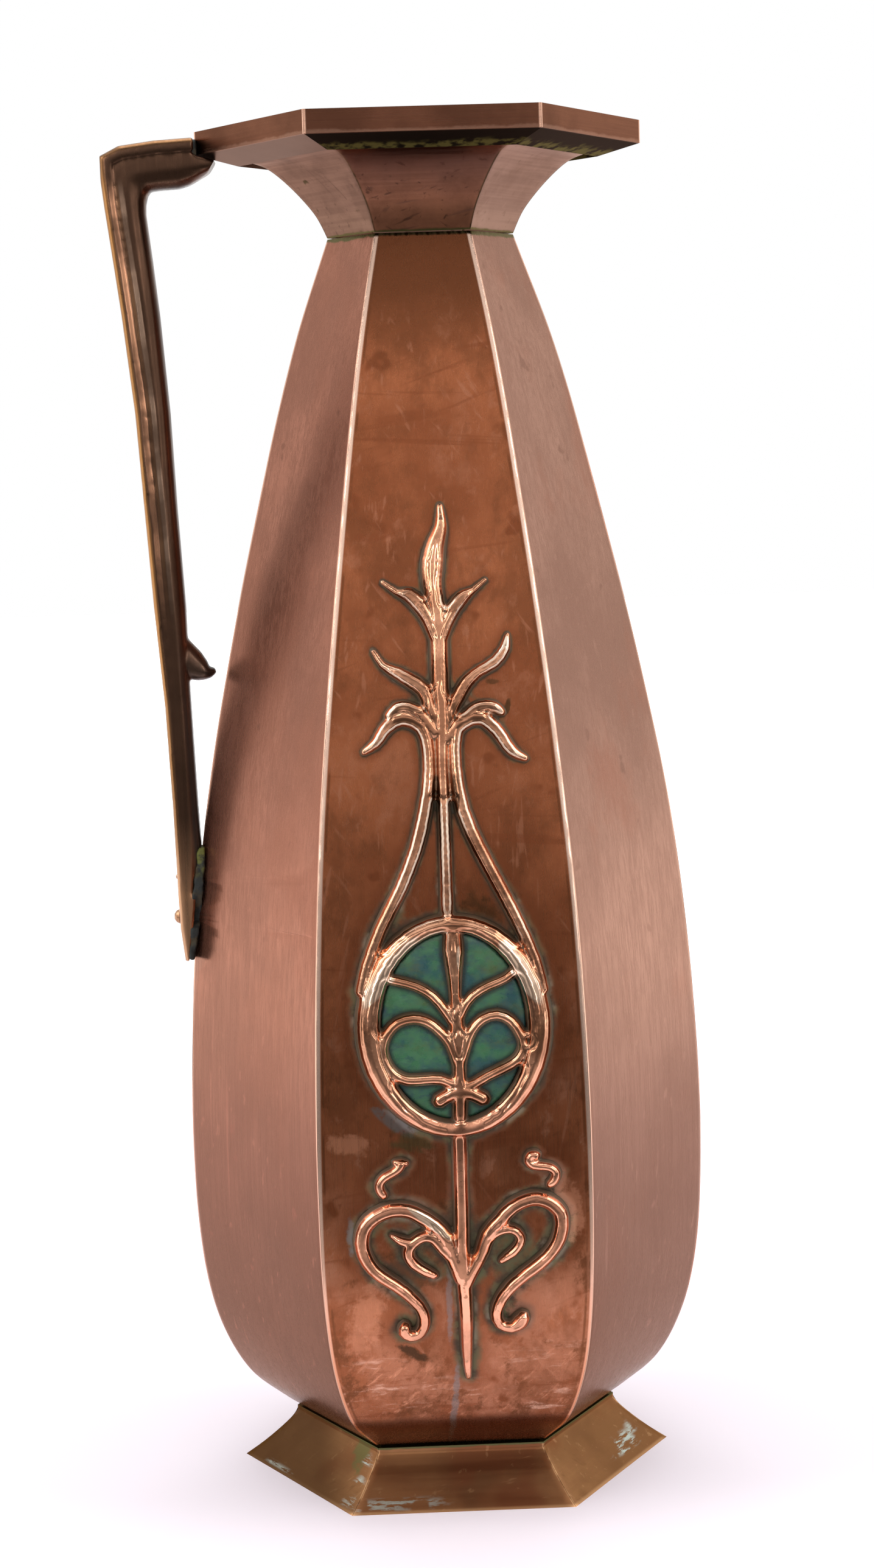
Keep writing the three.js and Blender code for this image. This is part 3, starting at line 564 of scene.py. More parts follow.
def halo(look):
    """Olive tarnish on the front panel close to the relief, with pale crust. Returns its share."""
    near = look.attribute("near")
    reach = look.times(near, look.zone(*HALO_NARROWS, 1.0, 2.1))
    grain = look.noise(260, detail=8.0, rough=0.75)
    patchy = look.noise(45, detail=2.0, offset=5.2)
    ragged = look.minus(look.plus(reach, look.times(grain, 3.0)), 1.1)
    ragged = look.plus(ragged, look.times(patchy, 4.0))
    ragged = look.minus(ragged, look.zone(*HALO_WIDENS, 0.0, 0.4))
    green = look.mix(look.patches(200, 0.46, 0.62, detail=4.0, offset=0.9), VERDIGRIS_DARK, VERDIGRIS)
    pale = look.times(look.patches(90, 0.52, 0.62, 0.7, detail=5.0, offset=4.4),
                      look.band(reach, 1.9, 0.8))
    green = look.mix(pale, green, HALO_PALE)
    bright = look.times(look.patches(210, 0.52, 0.62, 0.8, detail=5.0, offset=8.3),
                        look.zone(*HALO_BRIGHTENS))
    green = look.mix(bright, green, HALO_GREEN)
    crust = look.most(look.band(ragged, 5.0, 2.6, 0.0, 0.9), look.band(near, 1.2, 0.5, 0.0, 0.75))
    look.lay(FRONT[1], look.band(ragged, 9.0, 4.0, 0.0, 0.65))
    look.lay(green, crust)
    look.dull(look.times(crust, 0.8))
    return crust


def front_copper():
    look = Look("front_copper", 1.0)
    streak = brushed(look, *FRONT, share=0.26)
    height = look.axes()[2]
    wobble = look.noise(38, stretch=(1.0, 1.0, 0.5), detail=4.0, offset=2.4)
    front_mottling(look, look.plus(height, look.times(wobble, 70 * MM)))
    look.lay(FRONT_DARK, look.zone(*TOP_DARKENS, 0.0, 0.9))
    uneven = look.plus(height, look.times(look.noise(40, detail=3.0, offset=3.9), 4 * MM))
    look.lay(FRONT_BASE, look.zone(*BASE_DARKENS, 0.0, 0.9, height=uneven))
    edge = front_corners(look)
    for seam in (NECK_Z, COLLAR_Z):
        look.lay(VERDIGRIS_DARK, look.near_height(seam, 1.5 * MM, 0.8 * MM))
    roughness = look.band(halo(look), 0.0, 1.0, look.band(streak, *STREAK, 0.26, 0.31), 0.6)
    for front_mark in FRONT_MARKS:
        smear(look, *front_mark)
    look.bump(streak, 0.12, 0.00006)
    return look.finish(look.band(edge, 0.0, 1.0, roughness, 0.22))


def relief_lines(look):
    """Painted shade in the groove and painted highlight lines along the strokes. Returns the lines'
    share.
    """
    drift = look.times(look.minus(look.noise(110, detail=3.0, offset=2.7), 0.5), 0.6)
    inset = look.plus(look.attribute("edge"), drift)
    # Painted shade along the groove
    groove = look.times(look.band(look.away(inset, RELIEF_GROOVE), 0.4, 0.1),
                        look.patches(60, 0.4, 0.6, 0.45, detail=2.0, offset=5.3))
    look.lay(RELIEF_DARK, groove)
    # Painted highlight lines along the strokes, standing in for reflections of the windows
    lit = look.times(look.band(look.away(inset, RELIEF_HIGHLIGHT_LINE), 0.42, 0.22),
                     look.patches(42, 0.44, 0.56, detail=2.0, offset=9.4), look.zone(*LINES_BEGIN))
    # Painted shade in the gaps between the strands, where the highlight lines stop
    for side in (-1, 1):
        gap = mark(look, WEB_X + side * WEB_GAP, WEB_END, WEB_GAP_SIZE, 0.0, 1.0, 0.6)
        lit = look.times(lit, look.minus(1.0, gap))
        look.lay(RELIEF_DARK, look.times(gap, 0.9))
    look.lay(RELIEF_PAINTED_HIGHLIGHT, lit)
    return lit


def relief_gleams(look):
    """Bright streaks where the polished strokes catch the light."""
    gleams = 0.0
    inner = look.band(look.attribute("edge"), 0.7, 1.1)
    for (x, z), size, slant in RELIEF_GLEAMS:
        gleam = mark(look, OVAL_MIDDLE.x + x * MM, OVAL_MIDDLE.z + z * MM, size, slant, 1.0, 1.5)
        gleams = look.most(gleams, look.times(gleam, inner))
    look.lay(RELIEF_GLEAM, gleams)


def relief_copper():
    look = Look("polished_relief", 1.0)
    worn = look.times(look.patches(62, 0.45, 0.6, detail=7.0, rough=0.62),
                      look.zone(*RELIEF_WEARS, 0.45, 0.9))
    look.colour = look.mix(look.zone(*RELIEF_REDDENS), RELIEF_BRIGHT, RELIEF_PINK)
    look.lay(RELIEF_WORN, worn)
    pits = look.patches(700, 0.58, 0.7, 0.5, detail=5.0, rough=0.65, offset=6.5)
    look.lay(RELIEF_DARK, pits)
    lit = relief_lines(look)
    relief_gleams(look)
    grain = look.noise(420, detail=5.0, offset=0.5)
    ragged = look.plus(look.attribute("rise"), look.times(grain, -0.9))
    # Painted shade low on the strokes' flanks, where they meet the panel
    look.lay(RELIEF_DARK, look.band(ragged, 1.2, 0.6, 0.0, 0.85))
    low = look.band(ragged, 0.75, 0.35)
    green = look.mix(look.patches(480, 0.5, 0.64, offset=1.9), VERDIGRIS_DARK, VERDIGRIS)
    look.lay(green, low)
    # Painted shade on the strokes' walls and in their hollows
    wall = look.most(look.band(look.attribute("edge"), 0.7, 0.3, 0.0, 0.9),
                     look.band(look.attribute("hollow"), 0.03, 0.12, 0.0, 0.9))
    look.lay(WALL_PAINTED_SHADE, wall)
    low = look.most(low, wall)
    # Less metal on the crust, the painted shade and the painted highlight lines
    look.dull(look.most(look.times(low, 0.9), look.times(lit, 0.6)))
    look.bump(look.noise(260, detail=4.0), 0.2, 0.00012)
    polish = look.band(worn, 0.0, 1.0, 0.07, 0.14)
    return look.finish(look.band(low, 0.0, 1.0, polish, 0.6))


def enamel_glaze():
    look = Look("mottled_enamel", 0.0, coat_weight=0.5, coat_roughness=0.12)
    look.colour = look.mix(look.patches(120, 0.38, 0.6, detail=7.0), ENAMEL_TEAL, ENAMEL_GREEN)
    for tint, scale, low, high, share, offset in ENAMEL_CLOUDS:
        cloud = look.patches(scale, low, high, share, stretch=(0.45, 1.0, 1.0), detail=8.0,
                             rough=0.72, offset=offset)
        look.lay(tint, cloud)
    # Painted shade in the enamel next to the tracery's frames
    rim = look.band(look.attribute("near"), 1.7, 0.5, 0.0, 0.8)
    look.lay(ENAMEL_FRAME_SHADE, rim)
    look.bump(look.noise(300, detail=3.0), 0.3, 0.0002)
    return look.finish(look.band(look.noise(400), 0.3, 0.7, 0.22, 0.42))


def handle_bronze():
    """Dark bronze with painted highlight lines and shade, set by the mm a place lies inside the outer
    face.
    """
    look = Look("dark_bronze", 1.0)
    streak = brushed(look, *BRONZE, fine=700.0, share=0.5)
    inset = look.attribute("inset")
    drift = look.noise(160, stretch=(1.0, 1.0, 0.2), detail=5.0, rough=0.65)
    drifted = look.plus(inset, drift)
    run = look.times(look.zone(-1, -12, over=LINES_TOP), look.zone(0, 45, over=LINES_LOW),
                     look.band(look.noise(50, detail=4.0, offset=4.7), 0.4, 0.56, 0.35, 1.0))
    ridge = 0.0
    # Painted highlight lines along the handle
    for middle, half, tint, share in HANDLE_LINES:
        line = look.band(look.away(drifted, middle), half, half * 0.4, 0.0, share)
        line = look.times(line, run)
        look.lay(tint, line)
        ridge = look.plus(ridge, line)
    # Golden outer edge: partly wear on the outer bevel, partly painted highlight
    edge = look.times(look.band(drifted, 2.5, 1.4, 0.0, 0.8),
                      look.zone(-60, 30, 0.45, over=LINES_LOW), look.zone(2, -8, 0.4, over=LINES_TOP))
    look.lay(BRONZE_EDGE, edge)
    look.lay(look.mix(streak, *TAIL), look.zone(44, 14, 0.0, 0.85, over=TAIL_Z))
    # Painted shade on the handle's inner faces, turned to the body, with less metal near the tail
    inside = look.times(look.band(inset, 4.6, 5.8), look.zone(100, 55, over=TAIL_Z))
    look.lay(SOLDER_AND_SHADE_BLACK, look.times(inside, 0.85))
    look.lay(SOLDER_AND_SHADE_BLACK, look.band(inset, 11.6, 13.0, 0.0, 0.6))
    look.dull(look.times(inside, 0.7))
    lumps = look.times(look.noise(350, detail=4.0), 0.3)
    look.bump(look.plus(ridge, lumps), 0.35, 0.0003)
    return look.finish(look.band(streak, *STREAK, 0.24, 0.36))


def dark_solder():
    look = Look("dark_solder", 0.3)
    look.colour = look.mix(look.patches(300, 0.5, 0.64, detail=4.0), SOLDER_AND_SHADE_BLACK, VERDIGRIS_DARK)
    top = look.times(look.zone(22, 30, over=TAIL_Z), look.zone(70, 60, over=TAIL_Z),
                     look.patches(260, 0.4, 0.56, offset=2.0))
    look.lay(SOLDER_GREEN, top)
    look.bump(look.noise(500, detail=4.0), 0.8, 0.0004)
    return look.finish(0.7)


def foot_deposits(look):
    """Pale deposits in thin, level, ragged rows."""
    fine = look.patches(1300, 0.47, 0.54, stretch=(0.1, 0.1, 1.0), detail=6.0, rough=0.7, offset=4.1)
    ragged = look.times(fine, look.patches(120, 0.42, 0.54, detail=3.0, offset=8.8))
    x, y, _ = look.axes()
    for across, depth, low, high, reach in FOOT_DEPOSITS:
        near_x = look.band(look.away(x, across * MM), reach * MM, reach * 0.4 * MM)
        near_y = look.band(look.away(y, depth * MM), 9 * MM, 6 * MM)
        rows = look.times(look.zone(low, low + 0.7), look.zone(high, high - 1.6))
        mask = look.times(near_x, near_y, rows)
        look.lay(PALE_DEPOSIT, look.times(mask, ragged))


def foot_patina():
    look = Look("foot_patina", 1.0)
    look.glance(GLANCE_FOOT)
    streak = brushed(look, *FOOT, fine=900.0, share=0.2, level=True)
    spots(look, FOOT_RED, 34, 0.48, 0.62, 2.3)
    spots(look, FOOT[1], 60, 0.5, 0.7, 9.1)
    scratches(look, FOOT[1], 0.7, (1.5, 1.62), 260.0)
    scratches(look, FOOT_EDGE, 0.25, (0.1, 1.3))
    edge = look.times(look.band(look.corner_distance(), 0.5 * MM, 0.2 * MM, 0.0, 0.7),
                      look.patches(160, 0.42, 0.56, detail=4.0, offset=6.6))
    edge = look.most(edge, look.zone(0.8, 0.2, 0.0, 0.45))
    look.lay(FOOT_EDGE, edge)
    look.lay(VERDIGRIS, look.near_height(COLLAR_Z, 1.1 * MM, 0.9 * MM))
    crust = mark(look, FOOT_CRUST_X, FOOT_CRUST_Z, (2.2, 5.0), FOOT_CORNER_SLANT, 0.75)
    look.lay(FOOT_GREEN, crust)
    # Painted shade on the foot's left side
    look.lay(FOOT_SHADE, look.band(look.axes()[0], *FOOT_SHADED, 0.0, 0.85))
    foot_deposits(look)
    look.bump(look.noise(260, detail=5.0), 0.12, 0.0001)
    return look.finish(look.band(streak, *STREAK, 0.32, 0.44))


def lip_copper(name, light, dark, low):
    look = Look(name, 1.0)
    look.glance(GLANCE_BROWN)
    streak = brushed(look, light, dark, fine=1300.0, share=0.2, level=True)
    cloud = look.noise(75, detail=8.0, rough=0.68, offset=6.0)
    look.lay(dark, look.band(cloud, 0.46, 0.62, 0.0, 0.6))
    uneven = look.plus(look.axes()[2], look.times(look.noise(60, offset=2.1), 5 * MM))
    # Near the neck a lighter tone; on the front lip it is a painted reflection of the body's front
    # panel
    neck = look.zone(24, 4, over=NECK_Z, height=uneven)
    look.lay(look.mix(cloud, low, look.colour), neck)
    spots(look, VERDIGRIS_DARK, 150, 0.7, 0.78, 8.0)
    scratches(look, light, 0.5, (0.9, 1.35), 300.0)
    scratches(look, dark, 0.75, (1.1, 0.35, -0.8), 520.0)
    edge = look.band(look.corner_distance(), 0.4 * MM, 0.15 * MM, 0.0, 0.7)
    tarnish = look.patches(140, 0.45, 0.55, detail=3.0, offset=1.4)
    look.lay(look.mix(tarnish, RELIEF_DARK, VERDIGRIS_DARK), edge)
    look.lay(LIP_SEAM, look.near_height(NECK_Z, 1.7 * MM, 1.1 * MM))
    look.bump(look.noise(230, detail=5.0), 0.12, 0.00012)
    return look.finish(look.band(streak, *STREAK, 0.3, 0.42))


def rim_copper(name, under_leg):
    """The rim's band, brushed level, over an under-leg that is plain or shaded with a crusted edge."""
    look = Look(name, 1.0)
    look.glance(GLANCE_BROWN)
    streak = brushed(look, *RIM, fine=1500.0, share=0.35, level=True)
    wobble = look.noise(150, detail=7.0, rough=0.65, offset=1.1)
    ragged = look.plus(look.axes()[2], look.times(wobble, 2.2 * MM))
    edge = look.band(look.corner_distance(), 0.7 * MM, 0.35 * MM, 0.0, 0.9)
    fold = look.zone(2.2, 1.4, 0.0, 0.14, over=RIM_BAND_LOW, height=ragged)
    look.lay(COPPER_EDGE, look.most(edge, fold))
    under = look.zone(0.1, -0.2, over=RIM_BAND_LOW)
    if under_leg:
        below = look.mix(look.noise(80, detail=6.0), *under_leg)
    else:
        crust = look.mix(look.patches(300, 0.42, 0.58, detail=6.0, offset=2.9), RIM_EDGE, RIM_SHADE)
        below = look.mix(look.zone(2.9, 1.9, over=RIM_LOW, height=ragged), RIM_SHADE, crust)
    look.lay(below, under)
    dry = 0.36 if under_leg else 0.75
    roughness = look.band(under, 0.0, 1.0, look.band(streak, *STREAK, 0.24, 0.36), dry)
    look.bump(streak, 0.2, 0.0001)
    return look.finish(roughness)


def added(name, data):
    """A new object in the scene."""
    obj = bpy.data.objects.new(name, data)
    bpy.context.scene.collection.objects.link(obj)
    return obj


def dress(mesh, material):
    mesh.materials.clear()
    mesh.materials.append(material)


def new_piece(name, mesh, slot, material, *replaced):
    piece = added(name, mesh)
    dress(mesh, material)
    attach(piece, "root")
    if replaced:
        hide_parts(*replaced)


def evaluated(mesh, modifiers):
    """A copy of a mesh with modifiers worked in: a list of (type, settings)."""
    holder = added("holder", mesh)
    for kind, settings in modifiers:
        modifier = holder.modifiers.new(kind, kind)
        for key, value in settings.items():
            setattr(modifier, key, value)
    bpy.context.view_layer.update()
    graph = bpy.context.evaluated_depsgraph_get()
    result = bpy.data.meshes.new_from_object(holder.evaluated_get(graph))
    bpy.data.objects.remove(holder)
    return result


def clean_copy(node):
    """The CAD node's mesh with its split vertices merged."""
    mesh = NODES[node].data.copy()
    edit = bmesh.new()
    edit.from_mesh(mesh)
    bmesh.ops.remove_doubles(edit, verts=edit.verts, dist=0.004 * MM)
    bmesh.ops.recalc_face_normals(edit, faces=edit.faces)
    return mesh, edit


def fine_gore(node, turn, columns, level, dents):
    """A gore of sheet with a smooth profile, from the CAD node's rows, with its edges softened."""
    mesh, edit = clean_copy(node)
    bmesh.ops.join_triangles(edit, faces=edit.faces, angle_face_threshold=math.radians(2),
                             angle_shape_threshold=math.pi)
    across = Vector((math.cos(turn), math.sin(turn), 0.0))
    rows = []
    for edge in edit.edges:
        run = edge.verts[1].co - edge.verts[0].co
        if run.length > 4 * MM and abs(run.normalized().dot(across)) > 0.999:
            rows.append(edge)
    bmesh.ops.subdivide_edges(edit, edges=rows, cuts=columns - 1, use_grid_fill=True)
    crease = edit.edges.layers.float.new("crease_edge")
    for edge in edit.edges:
        if len(edge.link_faces) == 2 and edge.calc_face_angle() > math.radians(25):
            edge[crease] = 1.0
    edit.to_mesh(mesh)
    edit.free()
    fine = evaluated(mesh, [("SUBSURF", {"levels": level, "render_levels": level})])
    outward = Vector((math.sin(turn), -math.cos(turn), 0.0))
    for vertex in fine.vertices:
        dent = (noise.noise(vertex.co * 28) - 0.35) * dents
        vertex.co += outward * min(dent, 0.0)
    bevel = {"width": 0.3 * MM, "segments": 2, "limit_method": "ANGLE",
             "angle_limit": math.radians(35), "harden_normals": False}
    result = evaluated(fine, [("BEVEL", bevel)])
    result.shade_smooth()
    result.set_sharp_from_angle(angle=math.radians(40))
    return result


def softened(nodes, voxel, rounds, grow, rounder=0):
    """CAD nodes grown by some mm and remade in small voxels, relaxed, and shaded still rounder."""
    together = bmesh.new()
    for node in nodes:
        mesh, edit = clean_copy(node)
        edit.to_mesh(mesh)
        edit.free()
        together.from_mesh(mesh)
    joined = bpy.data.meshes.new("joined")
    together.to_mesh(joined)
    together.free()
    whole = evaluated(joined, [
        ("DISPLACE", {"strength": grow * MM, "mid_level": 0.0}),
        ("REMESH", {"mode": "VOXEL", "voxel_size": voxel * MM, "use_smooth_shade": True}),
    ])
    result = evaluated(whole, [("SMOOTH", {"factor": 0.5, "iterations": rounds})])
    for vertex in result.vertices:
        vertex.co = [min(max(value, low), high) for value, low, high in zip(vertex.co, *CAD_BOX)]
    result.shade_smooth()
    if rounder:
        softer = evaluated(whole, [("SMOOTH", {"factor": 0.5, "iterations": rounder})])
        result.normals_split_custom_set_from_vertices([vertex.normal for vertex in softer.vertices])
    return result


def spread(mesh, values, times):
    """Values on a mesh's vertices, averaged with their neighbours'."""
    pairs = [tuple(edge.vertices) for edge in mesh.edges]
    for _ in range(times):
        totals, counts = list(values), [1] * len(values)
        for a, b in pairs:
            totals[a] += values[b]
            totals[b] += values[a]
            counts[a] += 1
            counts[b] += 1
        values = [total / count for total, count in zip(totals, counts)]
    return values


def rounded_strokes(mesh):
    """The relief with its strokes rounded and grooved by how far a place lies inside their edges."""
    insets = spread(mesh, distances(mesh, tree_of(mesh, stands_up), EDGE_LIMIT), 3)
    rises = distances(mesh, tree_of(NODES["body_panel_front"].data), RISE_LIMIT)
    for vertex, inset, rise in zip(mesh.vertices, insets, rises):
        outer = max(0.0, 1.0 - inset / RELIEF_ROUND)
        groove = max(0.0, 1.0 - abs(inset - RELIEF_GROOVE) / GROOVE_HALF)
        if vertex.co.z < STEM_TOP and abs(vertex.co.x - STEM_X) < STEM_HALF:
            groove = 0.0
        drop = RELIEF_SWELL * outer * outer + GROOVE_DEPTH * groove * groove * (3.0 - 2.0 * groove)
        vertex.co.y += drop * MM * min(max((rise - RESHAPED_FROM) / RESHAPED_OVER, 0.0), 1.0)
    result = evaluated(mesh, [("SMOOTH", {"factor": 0.5, "iterations": 4})])
    result.shade_smooth()
    store(result, "edge", insets)
    store(result, "rise", rises)
    softer = evaluated(result, [("SMOOTH", {"factor": 0.5, "iterations": 24})])
    hollows = [(soft.co - vertex.co).dot(vertex.normal) / MM
               for soft, vertex in zip(softer.vertices, result.vertices)]
    store(result, "hollow", hollows)
    return result


def tree_of(mesh, wanted=lambda normal: True):
    """Tree of a mesh's triangles whose normal is wanted."""
    mesh.calc_loop_triangles()
    corners = [vertex.co.copy() for vertex in mesh.vertices]
    faces = [tuple(face.vertices) for face in mesh.loop_triangles if wanted(face.normal)]
    return BVHTree.FromPolygons(corners, faces)


def stands_up(normal):
    """Side of a stroke of the relief, upright on the front panel."""
    return abs(normal.y) < 0.4


def faces_out(normal):
    """Outer face of the handle: outward on its upright run, up on its arm."""
    return abs(normal.y) < 0.2 and normal.z - normal.x > 0.8


def store(mesh, name, values):
    layer = mesh.attributes.new(name, "FLOAT", "POINT")
    layer.data.foreach_set("value", values)


def distances(mesh, tree, limit):
    """Millimetres from each vertex to the nearest point of a surface, up to a limit."""
    values = []
    for vertex in mesh.vertices:
        _, _, _, distance = tree.find_nearest(vertex.co, limit * MM)
        values.append(limit if distance is None else distance / MM)
    return values


def tail_solder():
    """The dark solder between the handle's tail and the body's corner, following both."""
    rows = {}
    for vertex in NODES["handle_strap"].data.vertices:
        if vertex.co.z < TAIL_Z + TAIL_SOLDER_LOW * MM:
            key = round(vertex.co.z / MM)
            reach, half = rows.get(key, (-1.0, 0.0))
            rows[key] = max(reach, vertex.co.x), max(half, abs(vertex.co.y - AXIS_Y))
    reach, half = rows[max(rows)]
    rows[max(rows) + TAIL_SOLDER_TOP] = reach + 1.7 * MM, half * 0.8
    edit = bmesh.new()
    rings = []
    for key in sorted(rows):
        (x, half), z = rows[key], key * MM
        share = (z - TAIL_Z) / ((TAIL_SOLDER_LOW + TAIL_SOLDER_TOP) * MM)
        bulge = 1.0 - (2.0 * share - 1.1) ** 2
        half += (0.1 + 0.3 * bulge + 0.5 * noise.noise(Vector((z * 240, 0.0, 0.0)))) * MM
        deep = x + (1.3 + 0.8 * bulge) * MM
        out = x - (0.2 + 0.5 * bulge + 0.7 * noise.noise(Vector((0.0, z * 300, 0.0)))) * MM
        corners = ((out, -half), (deep, -half), (deep, half), (out, half))
        rings.append([edit.verts.new((cx, AXIS_Y + cy, z)) for cx, cy in corners])
    return crusty(edit, rings, "tail_solder")


def arm_solder():
    """The dark joint between the handle's arm and the corner of the rim."""
    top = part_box("handle_strap")[1].z
    low, high = ARM_SOLDER_REACH
    edit = bmesh.new()
    rings = []
    for z, half in ARM_SOLDER:
        corners = ((low, -half), (high, -half), (high, half), (low, half))
        rings.append([edit.verts.new((ARM_END + x * MM, AXIS_Y + y * MM, top + z * MM))
                      for x, y in corners])
    return crusty(edit, rings, "arm_solder")


def crusty(edit, rings, name):
    """A lumpy mesh through four-cornered rings."""
    for low, high in zip(rings, rings[1:]):
        for i in range(4):
            edit.faces.new((low[i], low[(i + 1) % 4], high[(i + 1) % 4], high[i]))
    edit.faces.new(rings[0][::-1])
    edit.faces.new(rings[-1])
    bmesh.ops.recalc_face_normals(edit, faces=edit.faces)
    mesh = bpy.data.meshes.new(name)
    edit.to_mesh(mesh)
    edit.free()
    result = evaluated(mesh, [("REMESH", {"mode": "VOXEL", "voxel_size": 0.3 * MM}),
                              ("SMOOTH", {"factor": 0.5, "iterations": 2})])
    for vertex in result.vertices:
        vertex.co += vertex.normal * (0.5 * MM * noise.noise(vertex.co * 420))
    result.shade_smooth()
    return result


# Materials
copper = {
    "left": side_copper("copper_left", *SIDE_LEFT),
    "right": side_copper("copper_right", *SIDE_RIGHT),
    "front": front_copper(),
}
lips = {
    "left": lip_copper("lip_left", *LIP_LEFT, LIP_LEFT[0]),
    "front": lip_copper("lip_front", *LIP_FRONT, LIP_FRONT_REFLECTION),
    "right": lip_copper("lip_right", *LIP_RIGHT, LIP_RIGHT[0]),
}
relief = relief_copper()
enamel = enamel_glaze()
bronze = handle_bronze()
patina = foot_patina()
rims = {"left": rim_copper("rim_left", RIM_LEFT_UNDER), "front": rim_copper("rim_shaded", None)}
rims["right"] = rims["front"]

# Relief, enamel and curls
relief_tree = tree_of(NODES["ornament_pressing"].data)
for node, voxel, rounds, grow, slot, material in (
    ("ornament_pressing", 0.25, 8, 0.55, "ornament_copper", relief),
    ("curl_left", 0.22, 7, 0.45, "ornament_copper", relief),
    ("curl_right", 0.22, 7, 0.45, "ornament_copper", relief),
    ("enamel_plaque", 0.5, 3, 0.1, "enamel", enamel),
):
    mesh = softened([node], voxel, rounds, grow)
    if slot == "ornament_copper":
        mesh = rounded_strokes(mesh)
    else:
        store(mesh, "near", distances(mesh, relief_tree, RISE_LIMIT))
    new_piece(f"{node}_fine", mesh, slot, material, node)

# Body, lip and foot gores
curl_trees = [tree_of(NODES[node].data) for node in ("curl_left", "curl_right")]
for i, place in enumerate(PLACES):
    turn = 2 * math.pi * i / len(PLACES)
    front = place == "front"
    side = "front" if front else "left" if place in ("front_left", "back_left", "back") else "right"
    body = fine_gore(f"body_panel_{place}", turn, BODY_COLUMNS, 3 if front else 2, BODY_DENTS)
    if front:
        layers = [distances(body, tree, NEAR_LIMIT) for tree in (relief_tree, *curl_trees)]
        store(body, "near", [min(together) for together in zip(*layers)])
    new_piece(f"body_{place}_fine", body, "copper_front" if front else "copper_side",
              copper[side], f"body_panel_{place}")
    for part, dents, material in (("lip", LIP_DENTS, lips[side]), ("foot", FOOT_DENTS, patina)):
        mesh = fine_gore(f"{part}_panel_{place}", turn, TRIM_COLUMNS, 2, dents)
        new_piece(f"{part}_{place}_fine", mesh, f"{part}_copper", material, f"{part}_panel_{place}")
    strip = NODES[f"rim_strip_{place}"]
    dress(strip.data, rims[side])
    soft = strip.modifiers.new("soft_edges", "BEVEL")
    soft.width = 0.25 * MM
    soft.segments = 2
    soft.limit_method = "ANGLE"
    soft.angle_limit = math.radians(30)

# Handle in one casting, its solder and its fasteners
outer_tree = tree_of(NODES["handle_strap"].data, faces_out)
for nodes, name, voxel, rounds, grow, rounder in (
    (["handle_strap", "handle_grip"], "handle", 0.32, 12, 0.26, 40),
    (["handle_rivet"], "handle_rivet", 0.16, 4, 0.08, 0),
    (["tail_pin"], "tail_pin", 0.12, 2, 0.04, 0),
):
    mesh = softened(nodes, voxel, rounds, grow, rounder)
    store(mesh, "inset", distances(mesh, outer_tree, INSET_LIMIT))
    new_piece(f"{name}_fine", mesh, "handle_bronze", bronze, *nodes)
solder = dark_solder()
new_piece("tail_solder", tail_solder(), "handle_bronze", solder)
new_piece("arm_solder", arm_solder(), "handle_bronze", solder)

dress(NODES["base_plate"].data, patina)


# Studio: floor, world, lamps and the dark room in front, which only reflections see
def panel(name, corners, material):
    mesh = bpy.data.meshes.new(name)
    mesh.from_pydata(corners, [], [(0, 1, 2, 3)])
    obj = added(name, mesh)
    dress(mesh, material)
    return obj


def level_card(half, first, last, z):
    """Corners of a level card between two depths."""
    return [(-half, first, z), (half, first, z), (half, last, z), (-half, last, z)]


def by_ray(tree, unseen, seen):
    """One strength for camera, glossy and transmission rays, and another for the rest."""
    path = tree.nodes.new("ShaderNodeLightPath")
    total = path.outputs["Is Camera Ray"]
    for output in ("Is Glossy Ray", "Is Transmission Ray"):
        both = tree.nodes.new("ShaderNodeMath")
        both.operation = "MAXIMUM"
        tree.links.new(total, both.inputs[0])
        tree.links.new(path.outputs[output], both.inputs[1])
        total = both.outputs[0]
    strength = tree.nodes.new("ShaderNodeMapRange")
    strength.inputs["To Min"].default_value = unseen
    strength.inputs["To Max"].default_value = seen
    tree.links.new(total, strength.inputs["Value"])
    return strength.outputs[0]


def floor_material():
    """Pale floor, tinted near the ewer and white far away; it keeps the ewer's shadow."""
    look = Look("pale_floor", 0.0)
    radius = look.radius(*look.axes()[:2])
    tint = look.mix(look.band(radius, 0.25, 1.2), FLOOR_NEAR, FLOOR_FAR)
    look.surface.inputs["Specular IOR Level"].default_value = 0.2
    look.put(look.surface.inputs["Emission Color"], tint)
    glow = look.times(by_ray(look.tree, 0.0, 1.0), look.band(radius, 0.3, 1.5, FLOOR_GLOW, 1.0))
    look.put(look.surface.inputs["Emission Strength"], glow)
    look.colour = tint
    return look.finish(0.7)


def build_world():
    world = bpy.data.worlds.new("studio")
    bpy.context.scene.world = world
    world.use_nodes = True
    tree = world.node_tree
    background = tree.nodes["Background"]
    background.inputs["Color"].default_value = (1.0, 1.0, 1.0, 1.0)
    tree.links.new(by_ray(tree, WORLD_UNSEEN, 1.0), background.inputs["Strength"])


def softbox(name, place, size, power):
    light = bpy.data.lights.new(name, "AREA")
    light.shape = "RECTANGLE"
    light.size, light.size_y = size
    light.energy = power
    lamp = added(name, light)
    lamp.location = place
    lamp.rotation_euler = (Vector(LAMP_TARGET) - Vector(place)).to_track_quat("-Z", "Y").to_euler()


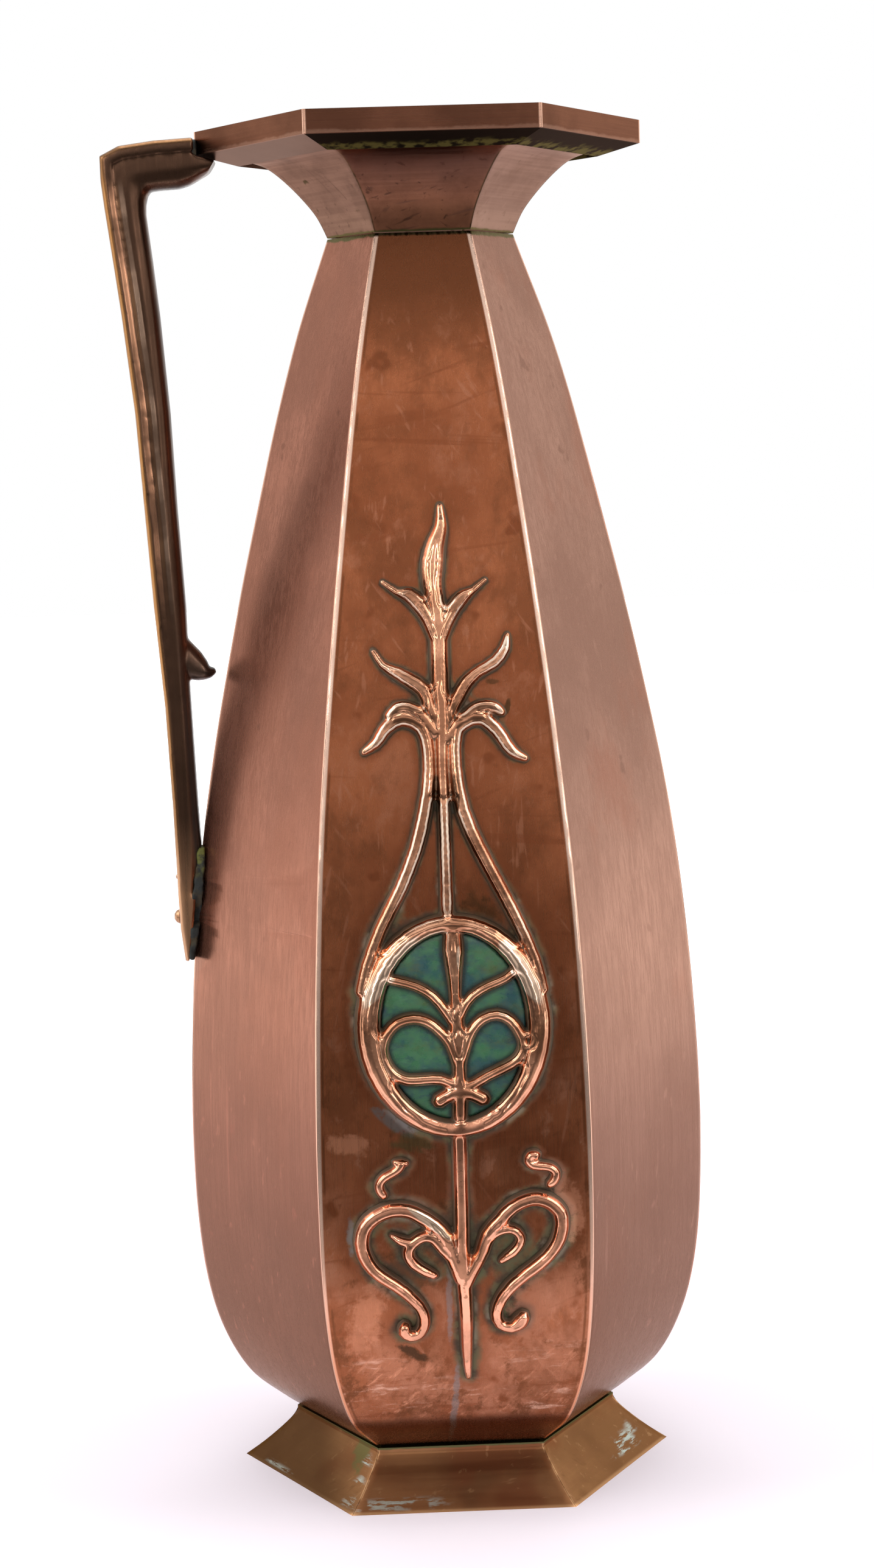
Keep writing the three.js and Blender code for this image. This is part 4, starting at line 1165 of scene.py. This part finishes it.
def room_material():
    """Dim ahead and bright in a few tall windows, over a dark ground."""
    look = Look("dark_room", 0.0)
    x, y, z = look.axes()
    turn = look.math("ARCTAN2", look.math("ABSOLUTE", x), look.times(y, -1.0))
    windows = 0.0
    for middle, half, level in ROOM_WINDOWS:
        away = look.away(turn, math.radians(middle))
        window = look.band(away, math.radians(half), math.radians(half * 0.6), 0.0, level)
        windows = look.plus(windows, window)
    above = look.band(z, 0.0, 0.15)
    windows = look.times(windows, look.band(z, WINDOW_LOW, WINDOW_HIGH, 0.3, 1.0))
    level = look.plus(look.band(z, 0.0, 0.9, ROOM_LOW, ROOM_HIGH), windows)
    ground = look.plus(look.band(y, *GROUND_DIMS, ROOM_LOW, ROOM_GROUND),
                       look.band(y, *GROUND_GLOWS, 0.0, ROOM_NEAR))
    ceiling = look.zone(-10, -5, NO_LIMIT, ROOM_CEILING, over=ROOM_TOP)
    level = look.math("MINIMUM", level, ceiling)
    strength = look.plus(look.times(level, above), look.times(ground, look.minus(1.0, above)))
    look.put(look.surface.inputs["Emission Color"], (1.0, 0.93, 0.9))
    look.put(look.surface.inputs["Emission Strength"], strength)
    look.surface.inputs["Specular IOR Level"].default_value = 0.0
    look.colour = (0.0, 0.0, 0.0)
    return look.finish(1.0)


def dark_room():
    """Cards in front of the ewer, behind the camera, which the front panel and the relief mirror."""
    material = room_material()
    far, near, half, top = ROOM_END, ROOM_START, ROOM_HALF, ROOM_TOP
    wall = [(-half, far, 0.0), (half, far, 0.0), (half, far, top), (-half, far, top)]
    ground = level_card(half, far, near, GROUND_LIFT)
    ceiling = level_card(half, far, CEILING_END, top)
    left, right = ([(x, far, 0.0), (x, near, 0.0), (x, near, top), (x, far, top)]
                   for x in (-half, half))
    for name, corners in (("dark_wall", wall), ("dark_ground", ground), ("dark_left", left),
                          ("dark_right", right), ("dark_ceiling", ceiling)):
        card = panel(name, corners, material)
        for ray in ("camera", "diffuse", "shadow", "transmission"):
            setattr(card, f"visible_{ray}", False)


def build_camera():
    ahead_x, ahead_y = math.sin(CAMERA_HEADING), math.cos(CAMERA_HEADING)
    level = math.cos(CAMERA_TILT)
    forward = Vector((ahead_x * level, ahead_y * level, -math.sin(CAMERA_TILT)))
    level_right = Vector((ahead_y, -ahead_x, 0.0))
    level_up = level_right.cross(forward)
    right = level_right * math.cos(CAMERA_ROLL) + level_up * math.sin(CAMERA_ROLL)
    up = level_up * math.cos(CAMERA_ROLL) - level_right * math.sin(CAMERA_ROLL)
    place = Vector((AXIS_X - CAMERA_DISTANCE * ahead_x, AXIS_Y - CAMERA_DISTANCE * ahead_y,
                    CAMERA_HEIGHT))
    data = bpy.data.cameras.new("camera")
    data.sensor_width = SENSOR
    data.lens = FOCAL_PIXELS / FRAME_PIXELS * SENSOR
    camera = added("camera", data)
    turned = Matrix((right, up, -forward)).transposed().to_4x4()
    camera.matrix_world = Matrix.Translation(place) @ turned
    bpy.context.scene.camera = camera


panel("floor", level_card(FLOOR_HALF, -FLOOR_HALF, FLOOR_HALF, 0.0), floor_material())
build_world()
dark_room()
for lamp in LAMPS:
    softbox(*lamp)
build_camera()
bpy.context.scene.view_settings.view_transform = "Standard"
